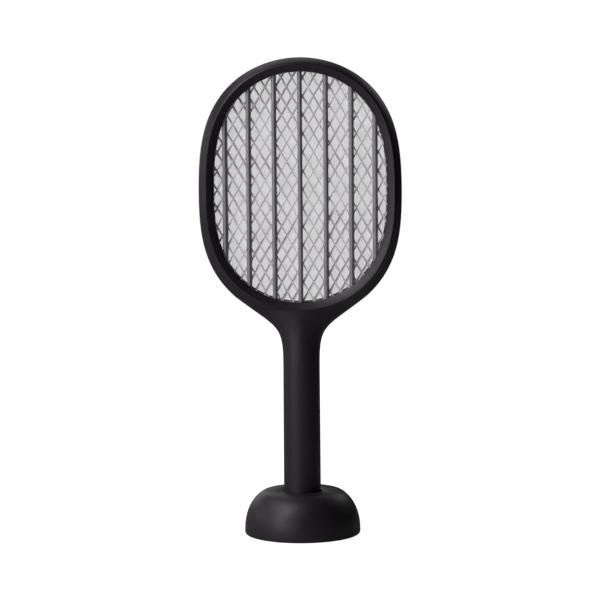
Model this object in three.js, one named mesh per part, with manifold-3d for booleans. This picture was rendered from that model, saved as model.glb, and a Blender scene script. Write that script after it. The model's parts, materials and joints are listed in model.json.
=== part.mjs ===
// Electric fly swatter standing in its charging dock.
// Millimetres, +Z up. The origin is the centre of the dock's underside and the plain front faces -Y.
// The trigger, the on/off slider and the lamp are on the back (+Y).

import * as THREE from "three";
import { mergeVertices } from "three/addons/utils/BufferGeometryUtils.js";
import Module from "manifold-3d";

const wasm = await Module();
wasm.setup();

const GAP = 0.3; // clearance between neighbouring pieces

// ---------------------------------------------------------------- driving dimensions

// Half width of an oval at height z: halfWidth * (1 - t^n)^(1/m), with t = 0 at its centre and 1 at its end.
const HEAD_RIM = {
  halfWidth: 101.6,
  upper: { centreZ: 332.8, height: 146.2, m: 1.94, n: 3.17 },
  lower: { centreZ: 358.8, height: 147.7, m: 1.5, n: 3.34 },
};
const OPENING = {
  halfWidth: 86.5,
  upper: { centreZ: 341.7, height: 123.2, m: 2.0, n: 2.95 },
  lower: { centreZ: 342.8, height: 107.9, m: 2.0, n: 2.6 },
};
const WIDEST_Z = 345.8;
const HEAD_TOP_Z = HEAD_RIM.upper.centreZ + HEAD_RIM.upper.height;
const OPENING_TOP_Z = OPENING.upper.centreZ + OPENING.upper.height;
const OPENING_BOTTOM_Z = OPENING.lower.centreZ - OPENING.lower.height;

const NECK_TOP_Z = 240; // the head's outline leaves its oval here
const NECK_BOTTOM_Z = 170; // and is the straight handle from here down
const NECK_HANDLES = [[23.1, 207.1], [18.4, 213.1]]; // control points of the curve between them
const CREASE_Z = 228; // outline height level with the crease under the opening
const ROUNDING_TOP_Z = 275; // the skin's section turns from flat to round between here and the neck's bottom
const HANDLE_R_TOP = 18.4;
const HANDLE_R_BOTTOM = 18.8;
const HANDLE_BOTTOM_Z = 13.5;

const WALL = 2; // casing wall
const RIDGE_DEPTH = 16; // the ridge's distance from the parting plane
const BEVEL_WIDTH = 7.2; // ridge to opening
const RIM_EDGE = { head: 3, handle: 0.8 }; // upright band at the outer edge
const BULGE = { headX: 1.35, headY: 1.25, handle: 2 }; // superellipse powers of the skin's section
const LIP_FRONT = 11.8;
const LIP_BACK = 10.3;
const PARTING = GAP / 2;

// Layers of the head, as distances from the parting plane (near face, far face)
const LAYER = {
  net: [0, 0.6],
  spacer: [0.9, 4.9],
  mesh: [5.2, 6.0],
  guard: [6.3, 9.9],
};
const RIM_INSET = 1.2; // layer rims run from here ...
const RIM_OUTSET = 5.4; // ... to here outside the opening's edge

const ROD_PLACES = [-75, -51.3, -25.8, 0, 25.8, 51.3, 75]; // along X, closest together at the sides
const ROD_WIDTH = 4.8;

const DIAMOND_WIDTH = 10.75;
const DIAMOND_HEIGHT = 18.6;
const STRAND_WIDTH = 1.3;
const REAR_MESH_TILT = THREE.MathUtils.degToRad(0.4);
const NET_PITCH = 9; // every tenth wire of the fine middle net
const NET_WIRE = 0.6;

const CONTACT_X = 6; // charging pads and spring pins, left and right of the axis

const TRIGGER = { z: 150, halfWidth: 6, halfHeight: 11, face: 19.5, keeper: [12.2, 13.6] };
const SLIDER = { z: 115, travel: 6, halfWidth: 4.4, halfHeight: 5.6, cap: [18.9, 20.4] }; // z at off
const SLIDER_NECK = { halfWidth: 1.8, halfHeight: 1.9, z: [14.2, 19.2] };
const LAMP = { z: 176, r: 1.4, lensR: 1.5, lensFace: 18.5 };
const BOARD = { halfWidth: 12.5, y: [2.4, 4.0], z: [106, 188] };

const DOME = { r: 58.5, widestZ: 2.6, topZ: 43.6, flatR: 37.6, bottomZ: 0.3, m: 1.4, n: 2.35, wall: 2.2 };
const SOCKET_R = 19.6;
const SOCKET_FLOOR_Z = 10;
const REST_RIB = { height: 1.2, width: 1.6, inner: 9, outer: 17.5, angles: [90, 210, 330] };
const HANDLE_REST_Z = SOCKET_FLOOR_Z + REST_RIB.height + GAP; // underside of the handle in the dock
const BASE_SCREW_R = 46;
const BASE_SCREW_ANGLES = [-90, 30, 150];

// ---------------------------------------------------------------- materials

const material = (color, roughness, metalness = 0) =>
  new THREE.MeshStandardMaterial({ color, roughness, metalness });
const MATERIAL = {
  casing: material(0x232225, 0.55),
  guard: material(0x6d6c70, 0.35, 0.6),
  mesh: material(0xa8a8ac, 0.4, 0.9),
  insulator: material(0x2b2b2e, 0.6),
  rubber: material(0x1b1b1c, 0.9),
  steel: material(0x8b8c90, 0.35, 1),
  brass: material(0xc9a250, 0.3, 1),
  board: material(0x1f5a3a, 0.6),
  cell: material(0x2c6fb0, 0.5),
  copper: material(0xb06a35, 0.4, 0.9),
  ferrite: material(0x3a3a3c, 0.8),
  film: material(0xb5742a, 0.5),
  ceramic: material(0x3f74b5, 0.6),
  chip: material(0x17171a, 0.5),
  lens: material(0xe8efe8, 0.2),
  lead: material(0xb3272a, 0.5),
};

// ---------------------------------------------------------------- solids

function toManifold(geometry) {
  const bare = geometry.clone();
  bare.deleteAttribute("normal");
  bare.deleteAttribute("uv");
  const merged = mergeVertices(bare, 1e-4);
  return new wasm.Manifold(new wasm.Mesh({
    numProp: 3,
    vertProperties: new Float32Array(merged.attributes.position.array),
    triVerts: new Uint32Array(merged.index.array),
  }));
}

function toGeometry(solid) {
  const mesh = solid.getMesh();
  const geometry = new THREE.BufferGeometry();
  geometry.setAttribute("position", new THREE.BufferAttribute(new Float32Array(mesh.vertProperties), 3));
  geometry.setIndex(new THREE.BufferAttribute(new Uint32Array(mesh.triVerts), 1));
  geometry.computeVertexNormals();
  return geometry;
}

const union = (solids) => solids.reduce((sum, solid) => sum.add(solid));

// A box between two corners
function box(x, y, z) {
  const geometry = new THREE.BoxGeometry(x[1] - x[0], y[1] - y[0], z[1] - z[0]);
  geometry.translate((x[0] + x[1]) / 2, (y[0] + y[1]) / 2, (z[0] + z[1]) / 2);
  return toManifold(geometry);
}

// A solid turned about Z from [radius, z] points, moved to (x, y)
function turned(points, segments, x = 0, y = 0) {
  const closed = points[0][0] === 0 ? points : [...points, points[0]];
  const geometry = new THREE.LatheGeometry(closed.map(([r, z]) => new THREE.Vector2(r, z)), segments);
  geometry.rotateX(Math.PI / 2);
  geometry.translate(x, y, 0);
  const solid = toManifold(geometry);
  return solid.volume() < 0 ? toManifold(flipped(geometry)) : solid;
}

function flipped(geometry) {
  const index = geometry.index.array;
  for (let i = 0; i < index.length; i += 3) {
    [index[i], index[i + 1]] = [index[i + 1], index[i]];
  }
  return geometry;
}

// An upright cylinder
function post(r, z, x = 0, y = 0, segments = 16) {
  return turned([[0, z[0]], [r, z[0]], [r, z[1]], [0, z[1]]], segments, x, y);
}

// A cylinder along Y
function pin(r, y, x, z, segments = 12) {
  const geometry = new THREE.CylinderGeometry(r, r, y[1] - y[0], segments);
  geometry.translate(x, (y[0] + y[1]) / 2, z);
  return toManifold(geometry);
}

// [x, z] points as vectors that run anticlockwise
function outlinePoints(pairs) {
  const points = pairs.map(([x, z]) => new THREE.Vector2(x, z));
  return THREE.ShapeUtils.isClockWise(points) ? points.reverse() : points;
}

// A flat outline of [x, z] points, with optional holes, extruded from y[0] to y[1]
function plate(outline, y, holes = []) {
  const shape = new THREE.Shape(outlinePoints(outline));
  shape.holes = holes.map((hole) => new THREE.Path(outlinePoints(hole)));
  const geometry = new THREE.ExtrudeGeometry(shape, { depth: y[1] - y[0], bevelEnabled: false });
  geometry.rotateX(Math.PI / 2);
  geometry.translate(0, y[1], 0);
  return toManifold(geometry);
}

// An oblong with round ends, centred on (x, z) and seen along Y
function oblong(halfX, halfZ, x, z, steps = 4) {
  const r = Math.min(halfX, halfZ);
  const points = [];
  for (const [cornerX, cornerZ, start] of [[1, 1, 0], [-1, 1, 1], [-1, -1, 2], [1, -1, 3]]) {
    for (let i = 0; i <= steps; i += 1) {
      const angle = ((start + i / steps) * Math.PI) / 2;
      points.push([
        x + cornerX * (halfX - r) + r * Math.cos(angle),
        z + cornerZ * (halfZ - r) + r * Math.sin(angle),
      ]);
    }
  }
  return points.filter(([px, pz], i) => {
    const [qx, qz] = points[(i + 1) % points.length];
    return Math.hypot(px - qx, pz - qz) > 1e-3;
  });
}

// The same solid on the other side of the parting plane
const mirrorY = (solid) => solid.mirror([0, 1, 0]);

// ---------------------------------------------------------------- outlines of the head and handle

function ovalHalfWidth(oval, z) {
  const part = z > WIDEST_Z ? oval.upper : oval.lower;
  const t = Math.min(Math.abs(z - part.centreZ) / part.height, 1);
  return oval.halfWidth * (1 - t ** part.n) ** (1 / part.m);
}

const neckTopWidth = ovalHalfWidth(HEAD_RIM, NECK_TOP_Z);
const neckCurve = new THREE.CubicBezierCurve(
  new THREE.Vector2(neckTopWidth, NECK_TOP_Z),
  new THREE.Vector2(...NECK_HANDLES[0]),
  new THREE.Vector2(...NECK_HANDLES[1]),
  new THREE.Vector2(HANDLE_R_TOP, NECK_BOTTOM_Z),
);

function handleRadius(z) {
  const t = (NECK_BOTTOM_Z - z) / (NECK_BOTTOM_Z - HANDLE_BOTTOM_Z);
  return HANDLE_R_TOP + (HANDLE_R_BOTTOM - HANDLE_R_TOP) * Math.max(t, 0);
}

// Right half of an oval from its top to its bottom
function ovalSide(oval, topZ, bottomZ, steps = 160) {
  const points = [];
  for (let i = 0; i <= steps; i += 1) {
    const swing = (Math.PI * i) / steps;
    const end = swing < Math.PI / 2 ? topZ : bottomZ;
    const z = WIDEST_Z + (end - WIDEST_Z) * Math.abs(Math.cos(swing));
    points.push(new THREE.Vector2(ovalHalfWidth(oval, z), z));
  }
  points[0].set(0, topZ);
  return points;
}

// A polyline shared out into equal lengths
function respace(points, count) {
  const lengths = [0];
  for (let i = 1; i < points.length; i += 1) {
    lengths.push(lengths[i - 1] + points[i].distanceTo(points[i - 1]));
  }
  const total = lengths[lengths.length - 1];
  return Array.from({ length: count + 1 }, (_, k) => {
    const target = (total * k) / count;
    let i = 1;
    while (i < points.length - 1 && lengths[i] < target) {
      i += 1;
    }
    const t = (target - lengths[i - 1]) / (lengths[i] - lengths[i - 1]);
    return points[i - 1].clone().lerp(points[i], Math.min(Math.max(t, 0), 1));
  });
}

// A polyline moved sideways: to the left of its own direction when distance is positive
function offsetSide(points, distance) {
  return points.map((point, i) => {
    const before = points[Math.max(i - 1, 0)];
    const after = points[Math.min(i + 1, points.length - 1)];
    const along = after.clone().sub(before).normalize();
    const normal = new THREE.Vector2(-along.y, along.x);
    if (point.x === 0) {
      normal.set(0, Math.sign(along.x));
    }
    return point.clone().addScaledVector(normal, distance);
  });
}

const openingSide = ovalSide(OPENING, OPENING_TOP_Z, OPENING_BOTTOM_Z);
openingSide[openingSide.length - 1].set(0, OPENING_BOTTOM_Z);

// Closed outline that lies outside the opening's edge by the given distance
function ovalLoop(distance, count = 18) {
  const side = respace(openingSide, count);
  const moved = side.map((point, i) => {
    const before = side[Math.max(i - 1, 0)];
    const after = side[Math.min(i + 1, count)];
    const along = after.clone().sub(before).normalize();
    if (i === 0 || i === count) {
      return [0, point.y + (i === 0 ? distance : -distance)];
    }
    return [point.x - along.y * distance, point.y + along.x * distance];
  });
  const left = moved.slice(1, -1).reverse().map(([x, z]) => [-x, z]);
  return [...moved, ...left];
}

const ovalRing = (inner, outer, y) => plate(ovalLoop(outer), y, [ovalLoop(inner)]);

// ---------------------------------------------------------------- casing

const RING_STATIONS = 17; // round one side of the head
const NECK_STATIONS = 6;
const PROFILE_STEPS = 5; // from the outer edge to the ridge or centre line

// Stations round the right-hand outline, each with its outer edge, its ridge and its place at the opening
function casingStations() {
  const rimSide = ovalSide(HEAD_RIM, HEAD_TOP_Z, NECK_TOP_Z);
  const neckPoints = neckCurve.getPoints(60).slice(1);
  const ringEdge = [...rimSide, ...neckPoints.filter((point) => point.y >= CREASE_Z)];
  const edge = respace(ringEdge, RING_STATIONS);
  const mouth = respace(openingSide, RING_STATIONS);
  mouth[RING_STATIONS].set(0, OPENING_BOTTOM_Z);
  const ridge = mouth.map((point, i) => {
    if (i === 0 || i === RING_STATIONS) {
      return new THREE.Vector2(0, point.y + (i === 0 ? BEVEL_WIDTH : -BEVEL_WIDTH));
    }
    const along = mouth[i + 1].clone().sub(mouth[i - 1]).normalize();
    return new THREE.Vector2(point.x - along.y * BEVEL_WIDTH, point.y + along.x * BEVEL_WIDTH);
  });
  const stations = edge.map((point, i) => ({ edge: point, ridge: ridge[i], mouth: mouth[i] }));
  const neckStart = edge[RING_STATIONS].y;
  for (let i = 1; i <= NECK_STATIONS; i += 1) {
    const z = neckStart + ((NECK_BOTTOM_Z - neckStart) * i) / NECK_STATIONS;
    stations.push({ edge: new THREE.Vector2(neckHalfWidth(z), z), ridge: new THREE.Vector2(0, z) });
  }
  stations.push({
    edge: new THREE.Vector2(HANDLE_R_BOTTOM, HANDLE_BOTTOM_Z),
    ridge: new THREE.Vector2(0, HANDLE_BOTTOM_Z),
  });
  return stations;
}

function neckHalfWidth(z) {
  const points = neckCurve.getPoints(200);
  const below = points.findIndex((point) => point.y <= z);
  if (below < 1) {
    return HANDLE_R_TOP;
  }
  const t = (points[below - 1].y - z) / (points[below - 1].y - points[below].y);
  return THREE.MathUtils.lerp(points[below - 1].x, points[below].x, t);
}

// One section of the casing's skin from the outer edge to the ridge, as points with y < 0
function skin(edge, ridge, inset) {
  const round = 1 - THREE.MathUtils.smoothstep(edge.y, NECK_BOTTOM_Z, ROUNDING_TOP_Z);
  const bulgeX = THREE.MathUtils.lerp(BULGE.headX, BULGE.handle, round);
  const bulgeY = THREE.MathUtils.lerp(BULGE.headY, BULGE.handle, round);
  const rimEdge = THREE.MathUtils.lerp(RIM_EDGE.head, RIM_EDGE.handle, round);
  const handleDepth = handleRadius(edge.y);
  const deepen = 1 - THREE.MathUtils.smoothstep(edge.y, NECK_BOTTOM_Z, CREASE_Z);
  const depth = THREE.MathUtils.lerp(RIDGE_DEPTH, handleDepth, deepen) - inset;
  const points = [new THREE.Vector3(edge.x, -PARTING, edge.y)];
  for (let i = 0; i <= PROFILE_STEPS; i += 1) {
    const out = Math.cos((i / PROFILE_STEPS) * (Math.PI / 2)); // 1 at the edge, 0 at the ridge
    const rise = (1 - out ** bulgeX) ** (1 / bulgeY);
    points.push(new THREE.Vector3(
      THREE.MathUtils.lerp(ridge.x, edge.x, out),
      -(rimEdge + (depth - rimEdge) * rise),
      THREE.MathUtils.lerp(ridge.y, edge.y, out),
    ));
  }
  return points;
}

// Closed mesh from strips between neighbouring rows of points, and the same strips mirrored in x
class StripMesh {
  constructor() {
    this.positions = [];
  }

  triangle(a, b, c) {
    for (const point of [a, b, c]) {
      this.positions.push(point.x, point.y, point.z);
    }
    for (const point of [a, c, b]) {
      this.positions.push(-point.x, point.y, point.z);
    }
  }

  strip(rowA, rowB) {
    for (let i = 0; i < rowA.length - 1; i += 1) {
      this.triangle(rowA[i], rowA[i + 1], rowB[i + 1]);
      this.triangle(rowA[i], rowB[i + 1], rowB[i]);
    }
  }

  solid() {
    const geometry = new THREE.BufferGeometry();
    geometry.setAttribute("position", new THREE.Float32BufferAttribute(this.positions, 3));
    const merged = mergeVertices(geometry, 1e-4);
    merged.setIndex(withoutSlivers(merged.index.array));
    const solid = toManifold(merged);
    return solid.volume() < 0 ? toManifold(flipped(merged)) : solid;
  }
}

function withoutSlivers(index) {
  const kept = [];
  for (let i = 0; i < index.length; i += 3) {
    const [a, b, c] = [index[i], index[i + 1], index[i + 2]];
    if (a !== b && b !== c && c !== a) {
      kept.push(a, b, c);
    }
  }
  return kept;
}

// Front half of the casing: hollow, or filled up to the parting plane
function casingHalf(filled) {
  const mesh = new StripMesh();
  const stations = casingStations();
  const insideEdge = offsetSide(stations.map((station) => station.edge), -WALL);
  insideEdge.forEach((point, i) => {
    if (i > RING_STATIONS) {
      point.set(stations[i].edge.x - WALL, stations[i].edge.y);
    }
  });
  const at = (point, depth) => new THREE.Vector3(point.x, -depth, point.y);
  const rows = stations.map(({ edge, ridge, mouth }, i) => {
    const outside = skin(edge, ridge, 0);
    const centre = mouth ?? ridge;
    if (filled) {
      const lip = mouth ? [at(mouth, LIP_FRONT)] : [];
      return { outside: [...outside, ...lip, at(centre, PARTING), outside[0]], inside: [] };
    }
    const inside = skin(insideEdge[i], ridge, WALL).reverse();
    const lip = mouth ? [at(mouth, LIP_FRONT), at(mouth, LIP_BACK)] : [];
    return { outside, lip, inside: [...inside, outside[0]] };
  });
  for (let i = 0; i < rows.length - 1; i += 1) {
    const ringLoop = (row) => (filled ? row.outside : [...row.outside, ...row.lip, ...row.inside]);
    if (i < RING_STATIONS) {
      mesh.strip(ringLoop(rows[i]), ringLoop(rows[i + 1]));
    } else if (filled) {
      const trimmed = trimLip(rows[i].outside, rows[i + 1].outside.length);
      mesh.strip(trimmed, rows[i + 1].outside);
    } else {
      mesh.strip(rows[i].outside, rows[i + 1].outside);
      mesh.strip(rows[i].inside, rows[i + 1].inside);
    }
  }
  closeEnd(mesh, rows[rows.length - 1], filled);
  return mesh.solid();
}

// The lip's point is left out where a filled head's row meets the neck's
function trimLip(row, length) {
  if (row.length === length) {
    return row;
  }
  const lipIndex = PROFILE_STEPS + 2;
  return row.filter((_, i) => i !== lipIndex);
}

function closeEnd(mesh, row, filled) {
  if (filled) {
    const centre = row.outside[row.outside.length - 2];
    for (let i = 0; i < row.outside.length - 3; i += 1) {
      mesh.triangle(row.outside[i], row.outside[i + 1], centre);
    }
    return;
  }
  const inside = [...row.inside].reverse();
  const skinInside = inside.slice(1);
  mesh.strip(row.outside.slice(0, skinInside.length), skinInside);
}

// ---------------------------------------------------------------- casing screws

const SCREW = { headR: 2.0, shankR: 1.0, headSeat: 5.0, headHeight: 1.8, tip: -6.0, slot: [0.6, 0.7] };
const BOSS = { frontR: 2.9, rearR: 3.6, frontReach: 17, rearReach: 19 };
const OUTSIDE_Y = 25; // clear of the casing's back
const RING_SCREW_STATIONS = [3, 8, 13];
const TOWARDS_RIDGE = 0.6; // of the way from the outer edge to the ridge

function ringScrewPlaces() {
  const stations = casingStations();
  const right = RING_SCREW_STATIONS.map((i) => stations[i].edge.clone().lerp(stations[i].ridge, TOWARDS_RIDGE));
  const left = right.map((point) => new THREE.Vector2(-point.x, point.y));
  return [...right, ...left];
}

const NECK_SCREWS = [new THREE.Vector2(20, 214), new THREE.Vector2(-20, 214), new THREE.Vector2(0, 101.5)];
const screwPlaces = [...ringScrewPlaces(), ...NECK_SCREWS];

function screw({ x, y: z }) {
  const seat = SCREW.headSeat + GAP;
  const top = seat + SCREW.headHeight;
  const [slotWidth, slotDepth] = SCREW.slot;
  const shank = pin(SCREW.shankR, [SCREW.tip, seat + SCREW.headHeight / 2], x, z, 6);
  const head = pin(SCREW.headR, [seat, top], x, z, 8);
  const slot = box(
    [x - SCREW.headR, x + SCREW.headR],
    [top - slotDepth, top + slotDepth],
    [z - slotWidth / 2, z + slotWidth / 2],
  );
  return shank.add(head).subtract(slot);
}

// Posts in the front half that the screws bite into
function frontBosses(filledFront) {
  const posts = screwPlaces.map((place) => {
    const solid = pin(BOSS.frontR, [-BOSS.frontReach, -GAP], place.x, place.y, 6);
    const hole = pin(SCREW.shankR + GAP, [SCREW.tip - GAP, GAP], place.x, place.y, 6);
    return solid.intersect(filledFront).subtract(hole);
  });
  return union(posts);
}

// Tubes in the rear half that the screw heads sit in
function rearBosses(filledRear) {
  const posts = screwPlaces.map((place) => pin(BOSS.rearR, [GAP, BOSS.rearReach], place.x, place.y, 6));
  return union(posts.map((post) => post.intersect(filledRear)));
}

function rearScrewHoles() {
  return union(screwPlaces.map((place) => {
    const recess = pin(SCREW.headR + 0.4, [SCREW.headSeat, OUTSIDE_Y], place.x, place.y, 8);
    const hole = pin(SCREW.shankR + GAP, [-GAP, SCREW.headSeat + GAP], place.x, place.y, 6);
    return recess.add(hole);
  }));
}

function frontShell() {
  const hollow = casingHalf(false);
  return hollow.add(frontBosses(casingHalf(true)));
}

function rearShell() {
  const hollow = mirrorY(casingHalf(false));
  const withPosts = hollow.add(rearBosses(mirrorY(casingHalf(true)))).subtract(rearScrewHoles());
  const through = [10, OUTSIDE_Y];
  const trigger = plate(oblong(TRIGGER.halfWidth + GAP, TRIGGER.halfHeight + GAP, 0, TRIGGER.z), through);
  const slotHalfWidth = SLIDER_NECK.halfWidth + 0.2 + GAP;
  const slotHalfHeight = SLIDER_NECK.halfHeight + SLIDER.travel / 2 + 1.3 + GAP;
  const slot = plate(oblong(slotHalfWidth, slotHalfHeight, 0, SLIDER.z + SLIDER.travel / 2, 3), through);
  const lamp = pin(LAMP.lensR + GAP, through, 0, LAMP.z);
  return withPosts.subtract(trigger).subtract(slot).subtract(lamp);
}

// ---------------------------------------------------------------- layers of the head

const HEAD_MIDDLE_Z = (OPENING_TOP_Z + OPENING_BOTTOM_Z) / 2;
const HEAD_REACH = 320; // longer than the opening in any direction

function guard() {
  const [near, far] = LAYER.guard;
  const middle = (near + far) / 2;
  const rim = ovalRing(RIM_INSET, RIM_OUTSET, LAYER.guard);
  const reach = plate(ovalLoop((RIM_INSET + RIM_OUTSET) / 2), [0, 2 * far]);
  const rods = ROD_PLACES.map((x) => {
    const rod = new THREE.CylinderGeometry(1, 1, HEAD_REACH, 8, 1);
    rod.rotateX(Math.PI / 2);
    rod.scale(ROD_WIDTH / 2, (far - near) / 2 - 0.05, 1);
    rod.translate(x, middle, HEAD_MIDDLE_Z);
    return toManifold(rod);
  });
  return rim.add(union(rods).intersect(reach));
}

// Parallel strips at an angle to the upright, in one thin layer
function strips(angle, spacing, width, y) {
  const count = Math.ceil(HEAD_REACH / 2 / spacing);
  const pieces = [];
  for (let i = -count; i <= count; i += 1) {
    const strip = new THREE.BoxGeometry(width, y[1] - y[0], HEAD_REACH);
    strip.translate((i + 0.5) * spacing, (y[0] + y[1]) / 2, 0);
    strip.rotateY(angle);
    strip.translate(0, 0, HEAD_MIDDLE_Z);
    pieces.push(toManifold(strip));
  }
  return union(pieces);
}

// Two crossing layers of strips let into an oval rim
function crossedNet(rimY, angles, spacing, width, layers) {
  const reach = plate(ovalLoop(RIM_INSET + 1.6), [-HEAD_REACH, HEAD_REACH]);
  const crossed = layers.map((y, i) => strips(angles[i], spacing, width, y).intersect(reach));
  return ovalRing(RIM_INSET, RIM_OUTSET, rimY).add(crossed[0]).add(crossed[1]);
}

function outerMesh(tilt) {
  const lean = Math.atan(DIAMOND_WIDTH / DIAMOND_HEIGHT);
  const spacing = DIAMOND_WIDTH * Math.cos(lean);
  const [near, far] = LAYER.mesh;
  const layers = [[near + 0.07, near + 0.35], [far - 0.35, far - 0.07]];
  return crossedNet(LAYER.mesh, [tilt + lean, tilt - lean], spacing, STRAND_WIDTH, layers);
}

function middleNet() {
  const far = LAYER.net[1];
  const layers = [[-0.5, -0.1], [0.1, 0.5]];
  return crossedNet([-far, far], [0, Math.PI / 2], NET_PITCH, NET_WIRE, layers);
}

const spacerRing = () => ovalRing(RIM_INSET + 0.2, RIM_OUTSET, LAYER.spacer);

// ---------------------------------------------------------------- handle

const END_CAP = { r: 18.5, chamfer: 1.0, plugR: 16.2, plugTop: 18.5, cupR: 13.8, cupFloor: 14.6 };
const PAD = { r: 2.3, thickness: 1.1, stemR: 0.8, stemTop: 16.6 };

function endCap() {
  const { r, chamfer, plugR, plugTop, cupR, cupFloor } = END_CAP;
  const bottom = HANDLE_REST_Z;
  const shoulder = HANDLE_BOTTOM_Z - GAP;
  const body = turned([
    [0, bottom], [r - chamfer, bottom], [r, bottom + chamfer], [r, shoulder], [plugR, shoulder],
    [plugR, plugTop], [cupR, plugTop], [cupR, cupFloor], [0, cupFloor],
  ], 28);
  const pocketTop = bottom + PAD.thickness + GAP;
  const cuts = [-1, 1].map((side) => {
    const pocket = post(PAD.r + GAP, [bottom - 1, pocketTop], side * CONTACT_X, 0, 12);
    return pocket.add(post(PAD.stemR + GAP, [bottom, cupFloor + 1], side * CONTACT_X, 0, 8));
  });
  return body.subtract(union(cuts));
}

function contactPad(side) {
  const bottom = HANDLE_REST_Z;
  const top = bottom + PAD.thickness;
  return turned([
    [0, bottom], [PAD.r, bottom], [PAD.r, top], [PAD.stemR, top], [PAD.stemR, PAD.stemTop], [0, PAD.stemTop],
  ], 12, side * CONTACT_X);
}

const BATTERY = { r: 9.1, y: -5.4, z: [26, 90], capR: 3.1, capHeight: 1.2 };
const CRADLE = { halfWidth: 9, backHalfWidth: 10, y: [-12.4, 5.6], z: [20, 97], wall: 1.4 };
const LEAF = { half: 6, thickness: 0.5 };

function batteryCell() {
  const { r, y, z, capR, capHeight } = BATTERY;
  const edge = 0.7;
  return turned([
    [0, z[0]], [r - edge, z[0]], [r, z[0] + edge], [r, z[1] - edge], [r - edge, z[1]],
    [capR, z[1]], [capR, z[1] + capHeight], [0, z[1] + capHeight],
  ], 20, 0, y);
}

function batteryCradle() {
  const { halfWidth, backHalfWidth, y, z, wall } = CRADLE;
  const back = box([-backHalfWidth, backHalfWidth], [y[1] - wall, y[1]], z);
  const lower = box([-halfWidth, halfWidth], y, [z[0], z[0] + wall]);
  const upper = box([-halfWidth, halfWidth], y, [z[1] - wall, z[1]]);
  return back.add(lower).add(upper);
}

const batteryLeaf = (z) =>
  box([-LEAF.half, LEAF.half], [BATTERY.y - LEAF.half, BATTERY.y + LEAF.half], [z, z + LEAF.thickness]);

function batterySpring() {
  const bottom = CRADLE.z[0] + CRADLE.wall + GAP;
  const top = BATTERY.z[0] - GAP;
  const cone = turned([[0, bottom], [4.6, bottom], [2.6, top], [0, top]], 14, 0, BATTERY.y);
  return batteryLeaf(bottom).add(cone);
}

function batteryContact() {
  const top = CRADLE.z[1] - CRADLE.wall - GAP;
  const button = post(2.4, [BATTERY.z[1] + BATTERY.capHeight + GAP, top], 0, BATTERY.y, 14);
  return batteryLeaf(top - LEAF.thickness).add(button);
}

const circuitBoard = () => box([-BOARD.halfWidth, BOARD.halfWidth], BOARD.y, BOARD.z);
const BOARD_FRONT = BOARD.y[0] - GAP; // components stand off the board's two faces
const BOARD_BACK = BOARD.y[1] + GAP;

const TRANSFORMER = {
  y: -6.4, z: 162, half: [10.2, 3, 8], limb: 3, yoke: 2, windingR: [4.5, 7.8], windingHalf: 5.5,
};

function transformerCore() {
  const { y, z, half, limb, yoke } = TRANSFORMER;
  const block = box([-half[0], half[0]], [y - half[1], y + half[1]], [z - half[2], z + half[2]]);
  const windowHalf = (half[0] - yoke - limb) / 2;
  const windowX = limb + windowHalf;
  const windows = [-windowX, windowX].map((x) => box(
    [x - windowHalf, x + windowHalf],
    [y - half[1] - 1, y + half[1] + 1],
    [z - half[2] + yoke, z + half[2] - yoke],
  ));
  return block.subtract(union(windows));
}

function transformerWinding() {
  const { y, z, windingR: [inner, outer], windingHalf } = TRANSFORMER;
  const [low, high] = [z - windingHalf, z + windingHalf];
  return turned([[inner, low], [outer, low], [outer, high], [inner, high]], 20, 0, y);
}

const storageCapacitor = () => plate(oblong(9, 8, 0, 138, 3), [-7.4, BOARD_FRONT]);
const multiplierCapacitor = () => pin(5.2, [-1.6, BOARD_FRONT], 5.6, 118, 18);
const rectifierDiode = (side) => post(1.3, [174, 180], side * 6, 0.8, 10);
const switchingTransistor = () => box([-8, -3.6], [-0.6, BOARD_FRONT], [114, 121]);

const PLUNGER = { r: 1.6, y: [6.6, 9.0] };

function triggerSwitch() {
  const half = 3;
  const body = box([-half, half], [BOARD_BACK, 7.6], [TRIGGER.z - half, TRIGGER.z + half]);
  return body.subtract(pin(PLUNGER.r + GAP, [PLUNGER.y[0] - 1.2, PLUNGER.y[1]], 0, TRIGGER.z, 16));
}

const switchPlunger = () => pin(PLUNGER.r, PLUNGER.y, 0, TRIGGER.z, 16);

function triggerButton() {
  const { z, halfWidth, halfHeight, face, keeper } = TRIGGER;
  const edge = 1;
  const inner = oblong(halfWidth - edge, halfHeight - edge, 0, z);
  const cap = new THREE.ExtrudeGeometry(new THREE.Shape(outlinePoints(inner)), {
    depth: face - keeper[1] - edge + GAP, bevelThickness: edge, bevelSize: edge, bevelSegments: 2,
  });
  cap.rotateX(Math.PI / 2);
  cap.translate(0, face - edge, 0);
  const flange = plate(oblong(halfWidth + 1.3, halfHeight + 1.3, 0, z), keeper);
  const stem = pin(2.2, [PLUNGER.y[1] + GAP, keeper[0] + edge], 0, z, 16);
  return toManifold(cap).add(flange).add(stem);
}

const LEVER = { half: 1.5, y: [5.7, 12.2] };

function slideSwitch() {
  const end = SLIDER.z + SLIDER.travel;
  const room = LEVER.half + 0.5;
  const body = box([-3.6, 3.6], [BOARD_BACK, 7.4], [SLIDER.z - 5, end + 5]);
  return body.subtract(box([-room, room], [LEVER.y[0] - 0.4, LEVER.y[1]], [SLIDER.z - room, end + room]));
}

const slideLever = () =>
  box([-LEVER.half, LEVER.half], LEVER.y, [SLIDER.z - LEVER.half, SLIDER.z + LEVER.half]);

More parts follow.
